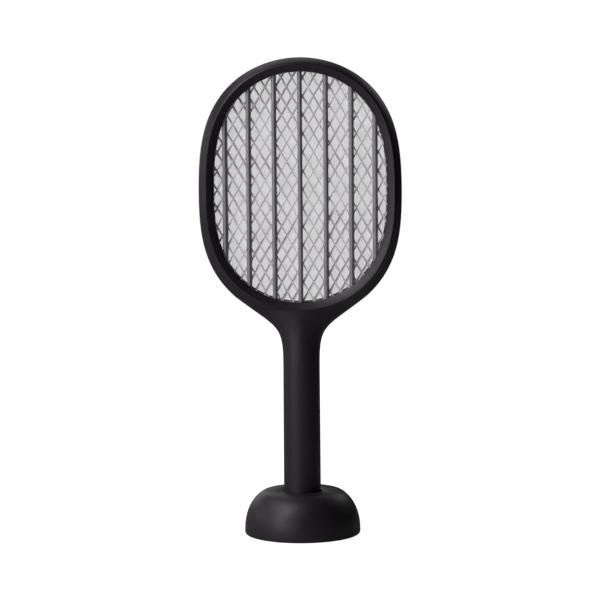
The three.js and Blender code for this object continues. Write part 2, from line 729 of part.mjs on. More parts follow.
// Cap with grip ribs, a neck through the slot, a keeper inside and a fork over the switch's lever
function powerSlider() {
  const { z, halfWidth, halfHeight, cap: [capNear, capFar] } = SLIDER;
  const { halfWidth: neckX, halfHeight: neckZ, z: [neckNear, neckFar] } = SLIDER_NECK;
  const cap = plate(oblong(halfWidth, halfHeight, 0, z), [capNear, capFar]);
  const ribs = [-2.4, 0, 2.4].map((dz) =>
    box([-3, 3], [capFar - 0.2, capFar + 0.5], [z + dz - 0.4, z + dz + 0.4]));
  const neck = box([-neckX, neckX], [neckNear, neckFar], [z - neckZ, z + neckZ]);
  const keeper = box([-4, 4], [neckNear, neckNear + 1], [z - 4.4, z + 4.4]);
  const prongs = [-1, 1].map((side) => {
    const middle = z + side * (LEVER.half + 1);
    return box([-LEVER.half, LEVER.half], [LEVER.y[1] - 1.8, neckNear + 0.4], [middle - 0.7, middle + 0.7]);
  });
  return union([cap, ...ribs, neck, keeper, ...prongs]);
}

const indicatorLamp = () => pin(LAMP.r, [BOARD_BACK, 8], 0, LAMP.z, 14);

function indicatorLens() {
  const pipe = pin(LAMP.lensR, [8 + GAP, LAMP.lensFace], 0, LAMP.z, 14);
  return pipe.add(pin(2.3, [14.4, 15.6], 0, LAMP.z, 14));
}

const LEAD_R = 0.55;
const LEAD_SPREAD = 1.3; // the leads part a little on their way up

// High-voltage lead from the board's top edge to the rim of one layer
function lead(x, layerY) {
  const end = x * LEAD_SPREAD;
  const boardY = (BOARD.y[0] + BOARD.y[1]) / 2;
  const route = new THREE.CatmullRomCurve3([
    new THREE.Vector3(x, boardY, BOARD.z[1] + GAP),
    new THREE.Vector3(x, boardY - 0.2, BOARD.z[1] + 6),
    new THREE.Vector3(end, layerY * 0.7, 210),
    new THREE.Vector3(end, layerY, 222),
    new THREE.Vector3(end, layerY, 228.7),
  ]);
  const section = new THREE.Shape(Array.from({ length: 6 }, (_, i) => {
    const angle = (i * Math.PI) / 3;
    return new THREE.Vector2(LEAD_R * Math.cos(angle), LEAD_R * Math.sin(angle));
  }));
  return toManifold(new THREE.ExtrudeGeometry(section, { steps: 8, extrudePath: route }));
}

// ---------------------------------------------------------------- dock

// Dome profile from its flat top to its foot, drawn in by the given amount
function domeProfile(inset, steps) {
  const points = [];
  for (let i = 0; i <= steps; i += 1) {
    const swing = (i / steps) * (Math.PI / 2);
    points.push([
      DOME.flatR + (DOME.r - inset - DOME.flatR) * Math.sin(swing) ** (2 / DOME.m),
      DOME.widestZ + (DOME.topZ - inset - DOME.widestZ) * Math.max(Math.cos(swing), 0) ** (2 / DOME.n),
    ]);
  }
  return points;
}

const basePlaces = BASE_SCREW_ANGLES.map((degrees) => {
  const angle = THREE.MathUtils.degToRad(degrees);
  return [BASE_SCREW_R * Math.cos(angle), BASE_SCREW_R * Math.sin(angle)];
});

const INLET = { z: 8.5, halfWidth: 4.45, halfHeight: 1.6, y: [50, 57.4], wall: 0.35 };
const BASE_SCREW = { headR: 2.6, shankR: 1.2, z: [1.0, 14], headTop: 1.8 };
const PLATE = { z: [0.9, 3.3], r: DOME.r - DOME.wall - 0.7 };
const FOOT = { r: [49.5, 54.8], top: 1.5, edge: 0.4 };
const CUP = { wall: 1.9, floor: 2, flangeZ: 38.7, flangeWidth: 4.5 };
const DOME_POST = { r: 3.6, z: [PLATE.z[1] + 0.4, 32] };

function baseDome() {
  const outside = [...domeProfile(0, 8), [DOME.r - 0.25, 1.4], [DOME.r - 1, DOME.bottomZ]];
  const inside = [[DOME.r - DOME.wall - 0.2, DOME.bottomZ], ...domeProfile(DOME.wall, 4).reverse()];
  const chamfer = 0.6;
  const shell = turned([
    [SOCKET_R, DOME.topZ - chamfer], [SOCKET_R + chamfer, DOME.topZ],
    ...outside, ...inside, [SOCKET_R, DOME.topZ - DOME.wall],
  ], 36);
  const posts = basePlaces.map(([x, y]) => {
    const solid = post(DOME_POST.r, DOME_POST.z, x, y, 10);
    return solid.subtract(post(BASE_SCREW.shankR + GAP, [PLATE.z[1], BASE_SCREW.z[1] + 2], x, y, 6));
  });
  const inletHole = plate(
    oblong(INLET.halfWidth + GAP, INLET.halfHeight + GAP, 0, INLET.z, 4),
    [INLET.y[0], DOME.r + 1],
  );
  return shell.add(union(posts)).subtract(inletHole);
}

// Cup that the handle stands in: its floor has three ribs under the handle and two holes for the spring pins
function socketCup() {
  const floor = SOCKET_FLOOR_Z;
  const wallR = SOCKET_R + CUP.wall;
  const flangeR = wallR + CUP.flangeWidth;
  const top = DOME.topZ - DOME.wall - GAP;
  const cup = turned([
    [0, floor - CUP.floor], [wallR, floor - CUP.floor], [wallR, CUP.flangeZ], [flangeR, CUP.flangeZ],
    [flangeR, top], [SOCKET_R, top], [SOCKET_R, floor], [0, floor],
  ], 32);
  const ribs = REST_RIB.angles.map((degrees) => {
    const rib = new THREE.BoxGeometry(REST_RIB.outer - REST_RIB.inner, REST_RIB.width, REST_RIB.height + 1);
    rib.translate((REST_RIB.inner + REST_RIB.outer) / 2, 0, floor + (REST_RIB.height - 1) / 2);
    rib.rotateZ(THREE.MathUtils.degToRad(degrees));
    return toManifold(rib);
  });
  const holes = [-1, 1].map((side) =>
    post(BARREL.r + GAP, [floor - CUP.floor - 1, floor + 1], side * CONTACT_X, 0, 12));
  return cup.add(union(ribs)).subtract(union(holes));
}

function bottomPlate() {
  const { r, z: [bottom, top] } = PLATE;
  const [footInner, footOuter] = [FOOT.r[0] - GAP, FOOT.r[1] + GAP];
  const groove = FOOT.top + GAP;
  const disc = turned([
    [0, bottom], [footInner, bottom], [footInner, groove], [footOuter, groove], [footOuter, bottom],
    [r, bottom], [r, top], [0, top],
  ], 32);
  const props = [[16, 0], [-16, 0], [0, -16]].map(([x, y]) =>
    post(2.4, [top - GAP, SOCKET_FLOOR_Z - CUP.floor - GAP], x, y, 8));
  const holes = basePlaces.map(([x, y]) => {
    const recess = post(BASE_SCREW.headR + 0.4, [0, BASE_SCREW.headTop + GAP], x, y, 10);
    return recess.add(post(BASE_SCREW.shankR + GAP, [0, top + 1], x, y, 6));
  });
  return disc.add(union(props)).subtract(union(holes));
}

function baseScrew([x, y]) {
  const { headR, shankR, z: [bottom, tip], headTop } = BASE_SCREW;
  const solid = turned(
    [[0, bottom], [headR, bottom], [headR, headTop], [shankR, headTop], [shankR, tip], [0, tip]], 8, x, y);
  return solid.subtract(box([x - headR, x + headR], [y - 0.3, y + 0.3], [0, bottom + 0.35]));
}

function footRing() {
  const { r: [inner, outer], top, edge } = FOOT;
  return turned([
    [inner, edge], [inner + edge, 0], [outer - edge, 0], [outer, edge], [outer, top], [inner, top],
  ], 32);
}

// Steel weight, open at the back for the charging board
function ballastRing() {
  const [inner, outer, bottom, top] = [23, 41.2, PLATE.z[1] + GAP, 13];
  const ring = turned([[inner, bottom], [outer, bottom], [outer, top], [inner, top]], 32);
  return ring.subtract(box([-9.6, 9.6], [0, outer + 5], [0, top + 5]));
}

const DOCK_BOARD = { z: [5, 6.6], socket: [[-10.5, 10.5], [-9, 14]], tail: [[-8, 8], [13, 54.6]] };

function dockBoard() {
  const { z, socket, tail } = DOCK_BOARD;
  return box(...socket, z).add(box(...tail, z));
}

const chargeChip = () => box([-3.4, 3.4], [24, 29.4], [DOCK_BOARD.z[1] + GAP, 8.3]);

function chargingInlet() {
  const { z, halfWidth, halfHeight, y, wall } = INLET;
  const body = plate(oblong(halfWidth, halfHeight, 0, z, 4), y);
  const mouth = plate(oblong(halfWidth - wall, halfHeight - wall, 0, z, 4), [y[0] + 1.2, y[1] + 1]);
  const tongue = box([-3.3, 3.3], [y[0] + 1, y[1] - 0.9], [z - wall, z + wall]);
  return body.subtract(mouth).add(tongue);
}

const BARREL = { r: 1.4, bore: 0.95, z: [DOCK_BOARD.z[1] + GAP, SOCKET_FLOOR_Z + 0.4], floor: 0.5 };
const SPRING_PIN = { r: 0.65, z: [8.7, HANDLE_REST_Z - GAP], edge: 0.3 };

function pinBarrel(side) {
  const { r, bore, z: [bottom, top], floor } = BARREL;
  return turned([
    [0, bottom], [r, bottom], [r, top], [bore, top], [bore, bottom + floor], [0, bottom + floor],
  ], 14, side * CONTACT_X);
}

function springPin(side) {
  const { r, z: [bottom, top], edge } = SPRING_PIN;
  return turned([[0, bottom], [r, bottom], [r, top - edge], [r - edge, top], [0, top]], 12, side * CONTACT_X);
}

// ---------------------------------------------------------------- assembly

const swatter = new THREE.Group();
const dock = new THREE.Group();

function addPiece(group, name, solid, finish) {
  const mesh = new THREE.Mesh(toGeometry(solid), finish);
  mesh.name = name;
  group.add(mesh);
  return mesh;
}

addPiece(swatter, "front_shell", frontShell(), MATERIAL.casing);
addPiece(swatter, "rear_shell", rearShell(), MATERIAL.casing);
addPiece(swatter, "front_guard", mirrorY(guard()), MATERIAL.guard);
addPiece(swatter, "rear_guard", guard(), MATERIAL.guard);
addPiece(swatter, "front_mesh", mirrorY(outerMesh(0)), MATERIAL.mesh);
addPiece(swatter, "rear_mesh", outerMesh(REAR_MESH_TILT), MATERIAL.mesh);
addPiece(swatter, "front_spacer", mirrorY(spacerRing()), MATERIAL.insulator);
addPiece(swatter, "rear_spacer", spacerRing(), MATERIAL.insulator);
addPiece(swatter, "middle_net", middleNet(), MATERIAL.mesh);
screwPlaces.forEach((place, i) => addPiece(swatter, `casing_screw_${i + 1}`, screw(place), MATERIAL.steel));

addPiece(swatter, "end_cap", endCap(), MATERIAL.casing);
addPiece(swatter, "contact_pad_left", contactPad(-1), MATERIAL.brass);
addPiece(swatter, "contact_pad_right", contactPad(1), MATERIAL.brass);
addPiece(swatter, "battery_cell", batteryCell(), MATERIAL.cell);
addPiece(swatter, "battery_cradle", batteryCradle(), MATERIAL.insulator);
addPiece(swatter, "battery_spring_contact", batterySpring(), MATERIAL.steel);
addPiece(swatter, "battery_plain_contact", batteryContact(), MATERIAL.steel);
addPiece(swatter, "circuit_board", circuitBoard(), MATERIAL.board);
addPiece(swatter, "transformer_core", transformerCore(), MATERIAL.ferrite);
addPiece(swatter, "transformer_winding", transformerWinding(), MATERIAL.copper);
addPiece(swatter, "storage_capacitor", storageCapacitor(), MATERIAL.film);
addPiece(swatter, "multiplier_capacitor", multiplierCapacitor(), MATERIAL.ceramic);
addPiece(swatter, "rectifier_diode_left", rectifierDiode(-1), MATERIAL.chip);
addPiece(swatter, "rectifier_diode_right", rectifierDiode(1), MATERIAL.chip);
addPiece(swatter, "switching_transistor", switchingTransistor(), MATERIAL.chip);
addPiece(swatter, "trigger_switch", triggerSwitch(), MATERIAL.chip);
addPiece(swatter, "switch_plunger", switchPlunger(), MATERIAL.steel);
addPiece(swatter, "trigger_button", triggerButton(), MATERIAL.rubber);
addPiece(swatter, "slide_switch", slideSwitch(), MATERIAL.steel);
addPiece(swatter, "slide_lever", slideLever(), MATERIAL.chip);
addPiece(swatter, "power_slider", powerSlider(), MATERIAL.casing);
addPiece(swatter, "indicator_lamp", indicatorLamp(), MATERIAL.lens);
addPiece(swatter, "indicator_lens", indicatorLens(), MATERIAL.lens);
addPiece(swatter, "front_mesh_lead", lead(-7, -5.6), MATERIAL.lead);
addPiece(swatter, "rear_mesh_lead", lead(7, 5.6), MATERIAL.lead);
addPiece(swatter, "middle_net_lead", lead(0, 0), MATERIAL.lead);

addPiece(dock, "base_dome", baseDome(), MATERIAL.casing);
addPiece(dock, "socket_cup", socketCup(), MATERIAL.casing);
addPiece(dock, "bottom_plate", bottomPlate(), MATERIAL.casing);
addPiece(dock, "foot_ring", footRing(), MATERIAL.rubber);
addPiece(dock, "ballast_ring", ballastRing(), MATERIAL.steel);
addPiece(dock, "dock_board", dockBoard(), MATERIAL.board);
addPiece(dock, "charge_chip", chargeChip(), MATERIAL.chip);
addPiece(dock, "charging_inlet", chargingInlet(), MATERIAL.steel);
basePlaces.forEach((place, i) => addPiece(dock, `base_screw_${i + 1}`, baseScrew(place), MATERIAL.steel));
for (const [name, side] of [["left", -1], ["right", 1]]) {
  addPiece(dock, `pin_barrel_${name}`, pinBarrel(side), MATERIAL.brass);
  addPiece(dock, `spring_pin_${name}`, springPin(side), MATERIAL.brass);
}

const flySwatter = new THREE.Group();
flySwatter.add(dock, swatter);

export default flySwatter;
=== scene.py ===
"""Electric fly swatter in its charging dock: the looks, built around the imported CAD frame."""

import json
import math
import random

import bmesh
import bpy
import numpy as np
from mathutils import Matrix, Vector


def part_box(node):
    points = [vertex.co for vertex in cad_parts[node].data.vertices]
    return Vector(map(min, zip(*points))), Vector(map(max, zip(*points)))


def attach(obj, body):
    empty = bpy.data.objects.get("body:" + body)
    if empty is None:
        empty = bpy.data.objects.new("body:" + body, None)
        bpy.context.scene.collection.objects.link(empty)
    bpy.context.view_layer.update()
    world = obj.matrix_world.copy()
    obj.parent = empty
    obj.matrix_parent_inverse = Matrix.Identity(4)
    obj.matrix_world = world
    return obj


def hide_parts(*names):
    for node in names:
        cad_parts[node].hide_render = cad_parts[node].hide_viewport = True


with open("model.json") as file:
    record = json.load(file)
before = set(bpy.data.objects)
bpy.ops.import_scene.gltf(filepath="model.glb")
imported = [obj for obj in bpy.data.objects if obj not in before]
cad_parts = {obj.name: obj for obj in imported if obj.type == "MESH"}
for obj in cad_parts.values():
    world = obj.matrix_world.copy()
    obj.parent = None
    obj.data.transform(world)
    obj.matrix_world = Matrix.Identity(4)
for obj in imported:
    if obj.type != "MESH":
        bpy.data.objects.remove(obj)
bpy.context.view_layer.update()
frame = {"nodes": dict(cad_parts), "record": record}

MM = 0.001


def box_mm(node):
    """Lowest and highest corners of a CAD node, in millimetres."""
    low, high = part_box(node)
    return [v / MM for v in low], [v / MM for v in high]


# ---------------------------------------------------------------- driving sizes, millimetres

SHELL_LOW, SHELL_HIGH = box_mm("front_shell")
GUARD_LOW, GUARD_HIGH = box_mm("rear_guard")
MESH_LOW, MESH_HIGH = box_mm("rear_mesh")

# Half width of an oval at height z: half_width * (1 - t**n)**(1/m), with t = 0 at its centre and 1 at its end
HEAD_RIM = {
    "half_width": 101.6,
    "upper": {"centre": 332.8, "height": 146.2, "m": 1.94, "n": 3.17},
    "lower": {"centre": 358.8, "height": 147.7, "m": 1.5, "n": 3.34},
}
OPENING = {
    "half_width": 86.5,
    "upper": {"centre": 341.7, "height": 123.2, "m": 2.0, "n": 2.95},
    "lower": {"centre": 342.8, "height": 107.9, "m": 2.0, "n": 2.6},
}
WIDEST_Z = 345.8
HEAD_TOP = SHELL_HIGH[2]
OPENING_TOP = OPENING["upper"]["centre"] + OPENING["upper"]["height"]
OPENING_BOTTOM = OPENING["lower"]["centre"] - OPENING["lower"]["height"]
HEAD_CENTRE = (OPENING_TOP + OPENING_BOTTOM) / 2

NECK_TOP = 240.0
NECK_BOTTOM = 170.0
CREASE = 228.0
HANDLE_R_TOP = 18.4
HANDLE_R_BOTTOM = 18.8
HANDLE_BOTTOM = SHELL_LOW[2]

WALL = 2.0
RIDGE_DEPTH = 16.0
BEVEL_WIDTH = 7.2
RIM_EDGE = {"head": 3.0, "handle": 0.8}
BULGE = {"x": 1.35, "y": 1.25, "round": 2.0}
ROUNDING_TOP = 275.0
LIP_FRONT = 11.8
LIP_BACK = 10.3
PARTING = 0.15
TONGUE = 0.5

RIM_INSET = 1.2
RIM_OUTSET = 5.4
ROD_PLACES = (-75.0, -51.3, -25.8, 0.0, 25.8, 51.3, 75.0)
ROD_WIDTH = 4.8

DIAMOND_WIDTH = 10.75
DIAMOND_HEIGHT = 18.6
STRAND = 1.2
MESH_PHASE = -7.05
SHEET_DRIFT = 0.45
SHEET_THICKNESS = 0.55
REAR_TILT = math.radians(0.4)
NET_PITCH = 0.9
NET_WIRE = 0.225
NET_STEP = 8.0

GAP = 0.3
TRIGGER = {"z": 150.0, "half_width": 6.0, "half_height": 11.0}
SLIDER = {"z": 115.0, "travel": 6.0, "half_width": 4.4, "half_height": 5.6, "slot": (2.0, 6.2)}
LENS = {"z": 176.0, "r": 1.5}
SCREW_BORE = {"r": 2.4, "y": (5, 25), "seat_r": 3.3, "seat_y": (3, 5)}

DOME = {
    "r": 58.5, "widest": 2.6, "top": 43.6, "flat_r": 37.6, "bottom": 0.3, "wall": 2.2,
    "m": 1.4, "n": 2.35,
}
SOCKET_R = 19.6
SOCKET_FLOOR = 10.0
REST_RIB = {"height": 1.2, "y": (-0.8, 0.8), "inner": 9.0, "outer": 17.5, "angles": (90, 210, 330)}
HANDLE_REST = SOCKET_FLOOR + REST_RIB["height"] + GAP
CONTACT_X = 6.0
INLET = {"z": 8.5, "half_width": 4.45, "half_height": 1.6, "y": (50.0, 57.4)}
BASE_SCREW_PLACES = [
    (46 * math.cos(math.radians(a)), 46 * math.sin(math.radians(a))) for a in (-90, 30, 150)
]


# ---------------------------------------------------------------- materials

class Nodes:
    """A material's node tree, with short calls for the nodes used here."""

    def __init__(self, name):
        self.material = bpy.data.materials.new(name)
        self.material.use_nodes = True
        self.tree = self.material.node_tree
        self.shader = self.tree.nodes["Principled BSDF"]
        self.place = self.add("ShaderNodeTexCoord").outputs["Object"]

    def add(self, kind, **values):
        node = self.tree.nodes.new(kind)
        for key, value in values.items():
            if hasattr(node, key):
                setattr(node, key, value)
            else:
                node.inputs[key.replace("_", " ")].default_value = value
        return node

    def link(self, source, target):
        self.tree.links.new(source, target)

    def drive(self, socket, source):
        self.link(source, self.shader.inputs[socket])

    def set(self, **values):
        for key, value in values.items():
            self.shader.inputs[key.replace("_", " ")].default_value = value

    def stretched(self, scale):
        mapping = self.add("ShaderNodeMapping")
        mapping.inputs["Scale"].default_value = scale
        self.link(self.place, mapping.inputs["Vector"])
        return mapping.outputs["Vector"]

    def noise(self, scale, detail=4.0, roughness=0.55, vector=None):
        node = self.add("ShaderNodeTexNoise", Scale=scale, Detail=detail, Roughness=roughness)
        self.link(vector or self.place, node.inputs["Vector"])
        return node.outputs["Fac"]

    def ramp(self, fac, stops):
        """A colour ramp from (position, colour) stops."""
        node = self.add("ShaderNodeValToRGB")
        for i, (position, colour) in enumerate(stops):
            element = node.color_ramp.elements[i] if i < 2 else node.color_ramp.elements.new(position)
            element.position = position
            element.color = (*colour, 1.0)
        self.link(fac, node.inputs["Fac"])
        return node.outputs["Color"]

    def spread(self, fac, low, high):
        """fac between 0.3 and 0.7 taken to low .. high."""
        node = self.add("ShaderNodeMapRange")
        node.inputs["From Min"].default_value = 0.3
        node.inputs["From Max"].default_value = 0.7
        node.inputs["To Min"].default_value = low
        node.inputs["To Max"].default_value = high
        self.link(fac, node.inputs["Value"])
        return node.outputs["Result"]

    def bump(self, height, strength, distance_mm, after=None):
        node = self.add("ShaderNodeBump", Strength=strength, Distance=distance_mm * MM)
        self.link(height, node.inputs["Height"])
        if after:
            self.link(after, node.inputs["Normal"])
        return node.outputs["Normal"]


def shade(colour, factor):
    return tuple(min(channel * factor, 1.0) for channel in colour)


def moulded_plastic(name, colour, roughness, grain=2600.0, depth=0.5, specular=0.5, tint=(1, 1, 1, 1)):
    """Injection-moulded plastic: spark-eroded grain, faint flow marks and small changes of sheen."""
    n = Nodes(name)
    fine = n.noise(grain, detail=3.0)
    broad = n.noise(38.0, detail=3.0)
    n.drive("Base Color", n.ramp(broad, [(0.3, shade(colour, 0.88)), (0.7, shade(colour, 1.12))]))
    n.drive("Roughness", n.spread(broad, roughness - 0.035, roughness + 0.035))
    n.drive("Normal", n.bump(fine, depth, 0.03))
    n.set(Specular_IOR_Level=specular, Specular_Tint=tint)
    return n.material


def drawn_metal(name, colour, roughness, along=(1, 1, 1), metallic=1.0, depth=0.15):
    """Metal with fine marks stretched along one direction."""
    n = Nodes(name)
    marks = n.noise(900.0, detail=4.0, vector=n.stretched(along))
    broad = n.noise(55.0, detail=3.0)
    n.drive("Base Color", n.ramp(broad, [(0.3, shade(colour, 0.9)), (0.7, shade(colour, 1.1))]))
    n.drive("Roughness", n.spread(marks, roughness - 0.06, roughness + 0.06))
    n.drive("Normal", n.bump(marks, depth, 0.02))
    n.set(Metallic=metallic)
    return n.material


def rubber(name, colour):
    """Soft rubber: dull, with a coarse blasted grain."""
    n = Nodes(name)
    fine = n.noise(1500.0, detail=5.0, roughness=0.7)
    broad = n.noise(60.0)
    n.drive("Base Color", n.ramp(broad, [(0.3, shade(colour, 0.85)), (0.7, shade(colour, 1.2))]))
    n.drive("Roughness", n.spread(fine, 0.7, 0.9))
    n.drive("Normal", n.bump(fine, 0.4, 0.04))
    n.set(Specular_IOR_Level=0.3)
    return n.material


def laminate(name, colour):
    """Circuit board: solder mask over a faint cloth weave."""
    n = Nodes(name)
    weave = n.add("ShaderNodeTexWave", Scale=420.0, Distortion=1.5)
    n.link(n.place, weave.inputs["Vector"])
    threads = weave.outputs["Fac"]
    n.drive("Base Color", n.ramp(threads, [(0.2, shade(colour, 0.85)), (0.8, shade(colour, 1.15))]))
    n.drive("Roughness", n.spread(n.noise(300.0), 0.3, 0.45))
    n.drive("Normal", n.bump(threads, 0.2, 0.02))
    return n.material


def wound_wire(name, colour):
    """Varnished copper winding: turns stacked along Z."""
    n = Nodes(name)
    wave = n.add("ShaderNodeTexWave", bands_direction="Z", Scale=700.0, Distortion=0.4)
    n.link(n.place, wave.inputs["Vector"])
    turns = wave.outputs["Fac"]
    # Base colour darkens to half in the grooves between turns: painted shade
    n.drive("Base Color", n.ramp(turns, [(0.0, shade(colour, 0.5)), (0.6, colour)]))
    n.drive("Roughness", n.spread(n.noise(400.0), 0.25, 0.4))
    n.drive("Normal", n.bump(turns, 0.8, 0.1))
    n.set(Metallic=0.6)
    return n.material


def clear_lens(name):
    """Frosted light pipe."""
    n = Nodes(name)
    haze = n.noise(500.0)
    n.drive("Base Color", n.ramp(haze, [(0.3, (0.72, 0.78, 0.74)), (0.7, (0.82, 0.86, 0.83))]))
    n.drive("Roughness", n.spread(haze, 0.12, 0.25))
    n.drive("Normal", n.bump(haze, 0.1, 0.02))
    n.set(Transmission_Weight=0.6, IOR=1.49)
    return n.material


SLOT_MATERIALS = {
    "casing": moulded_plastic("casing", (0.0112, 0.0086, 0.0114), 0.46, tint=(1, 0.955, 1, 1)),
    "guard": drawn_metal("guard", (0.34, 0.33, 0.35), 0.57, along=(1, 1, 0.03)),
    "mesh": drawn_metal("mesh", (0.9, 0.86, 0.905), 0.5, metallic=0.15, depth=0.4),
    "net": drawn_metal("net", (0.61, 0.57, 0.62), 0.5, metallic=0.3),
    "insulator": moulded_plastic("insulator", (0.02, 0.02, 0.022), 0.55),
    "rubber": rubber("rubber", (0.03, 0.03, 0.031)),
    "steel": drawn_metal("steel", (0.52, 0.52, 0.54), 0.32),
    "contacts": drawn_metal("contacts", (0.85, 0.62, 0.28), 0.22),
    "board": laminate("board", (0.03, 0.16, 0.07)),
    "cell": moulded_plastic("cell", (0.03, 0.13, 0.40), 0.3, grain=900.0),
    "winding": wound_wire("winding", (0.50, 0.20, 0.07)),
    "ferrite": moulded_plastic("ferrite", (0.05, 0.05, 0.055), 0.7, grain=1400.0, depth=0.8),
    "film": moulded_plastic("film", (0.42, 0.17, 0.04), 0.32, grain=500.0),
    "ceramic": moulded_plastic("ceramic", (0.05, 0.17, 0.42), 0.35, grain=700.0),
    "chip": moulded_plastic("chip", (0.012, 0.012, 0.013), 0.5, grain=1800.0),
    "lens": clear_lens("lens"),
    "lead": moulded_plastic("lead", (0.40, 0.02, 0.02), 0.35, grain=800.0),
}


def dress_cad_nodes():
    """Every CAD node gets its slot's material."""
    for part in frame["record"]["subparts"]:
        slots = frame["nodes"][part["node"]].data.materials
        slots.clear()
        slots.append(SLOT_MATERIALS[part["material_slot"]])


# ---------------------------------------------------------------- making pieces

CRISP = math.radians(38)


def mesh_object(name, points, faces):
    """A mesh object from points in millimetres, with shared points merged and faces turned outwards."""
    mesh = bpy.data.meshes.new(name)
    mesh.from_pydata([[v * MM for v in p] for p in points], [], faces)
    bm = bmesh.new()
    bm.from_mesh(mesh)
    bmesh.ops.remove_doubles(bm, verts=bm.verts, dist=1e-6)
    bmesh.ops.dissolve_degenerate(bm, edges=bm.edges, dist=1e-7)
    bmesh.ops.recalc_face_normals(bm, faces=bm.faces)
    bm.to_mesh(mesh)
    bm.free()
    obj = bpy.data.objects.new(name, mesh)
    bpy.context.scene.collection.objects.link(obj)
    return obj


def smooth(obj, crisp=CRISP):
    """Smooth shading, broken at edges sharper than the given angle."""
    bm = bmesh.new()
    bm.from_mesh(obj.data)
    for face in bm.faces:
        face.smooth = True
    for edge in bm.edges:
        edge.smooth = len(edge.link_faces) == 2 and edge.calc_face_angle(0.0) < crisp
    bm.to_mesh(obj.data)
    bm.free()


def bake(obj):
    """The object's modifiers become part of its mesh."""
    graph = bpy.context.evaluated_depsgraph_get()
    graph.update()
    mesh = bpy.data.meshes.new_from_object(obj.evaluated_get(graph))
    obj.modifiers.clear()
    old = obj.data
    obj.data = mesh
    bpy.data.meshes.remove(old)


def discard(obj):
    mesh = obj.data
    bpy.data.objects.remove(obj)
    bpy.data.meshes.remove(mesh)


def combine(obj, others, operation):
    """A boolean of obj with other objects, which are used up."""
    for other in others:
        modifier = obj.modifiers.new("combine", "BOOLEAN")
        modifier.operation = operation
        modifier.solver = "EXACT"
        modifier.object = other
    bake(obj)
    for other in others:
        discard(other)


def join(obj, other):
    """other's mesh is added to obj's, as a separate shell."""
    bm = bmesh.new()
    bm.from_mesh(obj.data)
    bm.from_mesh(other.data)
    bm.to_mesh(obj.data)
    bm.free()
    discard(other)


def bevel(obj, width_mm, segments=3, angle=30.0):
    modifier = obj.modifiers.new("bevel", "BEVEL")
    modifier.width = width_mm * MM
    modifier.segments = segments
    modifier.limit_method = "ANGLE"
    modifier.angle_limit = math.radians(angle)
    modifier.harden_normals = False
    bake(obj)


def add_piece(obj, body, slot, *nodes, crisp=CRISP):
    """Gives a finished object its material and its body, and hides the CAD nodes that it stands for."""
    obj.data.materials.clear()
    obj.data.materials.append(SLOT_MATERIALS[slot])
    smooth(obj, crisp)
    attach(obj, body)
    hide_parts(*nodes)
    return obj


def turned(name, profile, segments=96, x=0.0, y=0.0):
    """A solid turned about Z from (radius, z) points; the profile closes on itself or on the axis."""
    points = []
    faces = []
    count = len(profile)
    for i in range(segments):
        angle = 2 * math.pi * i / segments
        points += [(x + r * math.cos(angle), y + r * math.sin(angle), z) for r, z in profile]
    closed = profile[0][0] > 0
    for i in range(segments):
        j = (i + 1) % segments
        for k in range(count if closed else count - 1):
            n = (k + 1) % count
            faces.append((i * count + k, j * count + k, j * count + n, i * count + n))
    return mesh_object(name, points, faces)


def prism(name, outline, y):
    """A flat outline of (x, z) points, extruded from y[0] to y[1]."""
    count = len(outline)
    points = [(px, y[0], pz) for px, pz in outline] + [(px, y[1], pz) for px, pz in outline]
    faces = [tuple(range(count)), tuple(range(2 * count - 1, count - 1, -1))]
    faces += [(i, (i + 1) % count, count + (i + 1) % count, count + i) for i in range(count)]
    return mesh_object(name, points, faces)


def oblong(half_x, half_z, x, z, steps=12):
    """An oblong with round ends, seen along Y."""
    r = min(half_x, half_z)
    points = []
    for quarter, (sx, sz) in enumerate([(1, 1), (-1, 1), (-1, -1), (1, -1)]):
        for i in range(steps + 1):
            angle = (quarter + i / steps) * math.pi / 2
            px = x + sx * (half_x - r) + r * math.cos(angle)
            pz = z + sz * (half_z - r) + r * math.sin(angle)
            points.append((px, pz))
    distinct = [points[0]]
    for point in points[1:]:
        if math.dist(point, distinct[-1]) > 1e-3 and math.dist(point, distinct[0]) > 1e-3:
            distinct.append(point)
    return distinct


def disc(name, r, y, x, z, segments=32):
    """A cylinder along Y."""
    angles = [2 * math.pi * i / segments for i in range(segments)]
    return prism(name, [(x + r * math.cos(a), z + r * math.sin(a)) for a in angles], y)


def cuboid(name, x, y, z):
    return prism(name, [(x[0], z[0]), (x[1], z[0]), (x[1], z[1]), (x[0], z[1])], y)


# ---------------------------------------------------------------- outlines of the head and handle

def lerp(a, b, t):
    return a + (b - a) * t


def smoothstep(value, low, high):
    t = min(max((value - low) / (high - low), 0.0), 1.0)
    return t * t * (3 - 2 * t)


def oval_half_width(oval, z):
    part = oval["upper"] if z > WIDEST_Z else oval["lower"]
    t = min(abs(z - part["centre"]) / part["height"], 1.0)
    return oval["half_width"] * (1 - t ** part["n"]) ** (1 / part["m"])


def bezier(ends, steps):
    p0, p1, p2, p3 = (np.array(p) for p in ends)
    points = []
    for i in range(steps + 1):
        t = i / steps
        points.append((1 - t) ** 3 * p0 + 3 * (1 - t) ** 2 * t * p1 + 3 * (1 - t) * t * t * p2 + t ** 3 * p3)
    return points


def oval_side(oval, top, bottom, steps=600):
    """Right half of an oval from its top down."""
    points = []
    for i in range(steps + 1):
        swing = math.pi * i / steps
        end = top if swing < math.pi / 2 else bottom
        z = WIDEST_Z + (end - WIDEST_Z) * abs(math.cos(swing))
        points.append(np.array((oval_half_width(oval, z), z)))
    points[0] = np.array((0.0, top))
    return points


def respace(points, count):
    """A polyline shared out into equal lengths."""
    points = np.array(points)
    lengths = np.concatenate([[0], np.cumsum(np.linalg.norm(np.diff(points, axis=0), axis=1))])
    targets = np.linspace(0, lengths[-1], count + 1)
    return np.stack([np.interp(targets, lengths, points[:, k]) for k in (0, 1)], axis=1)


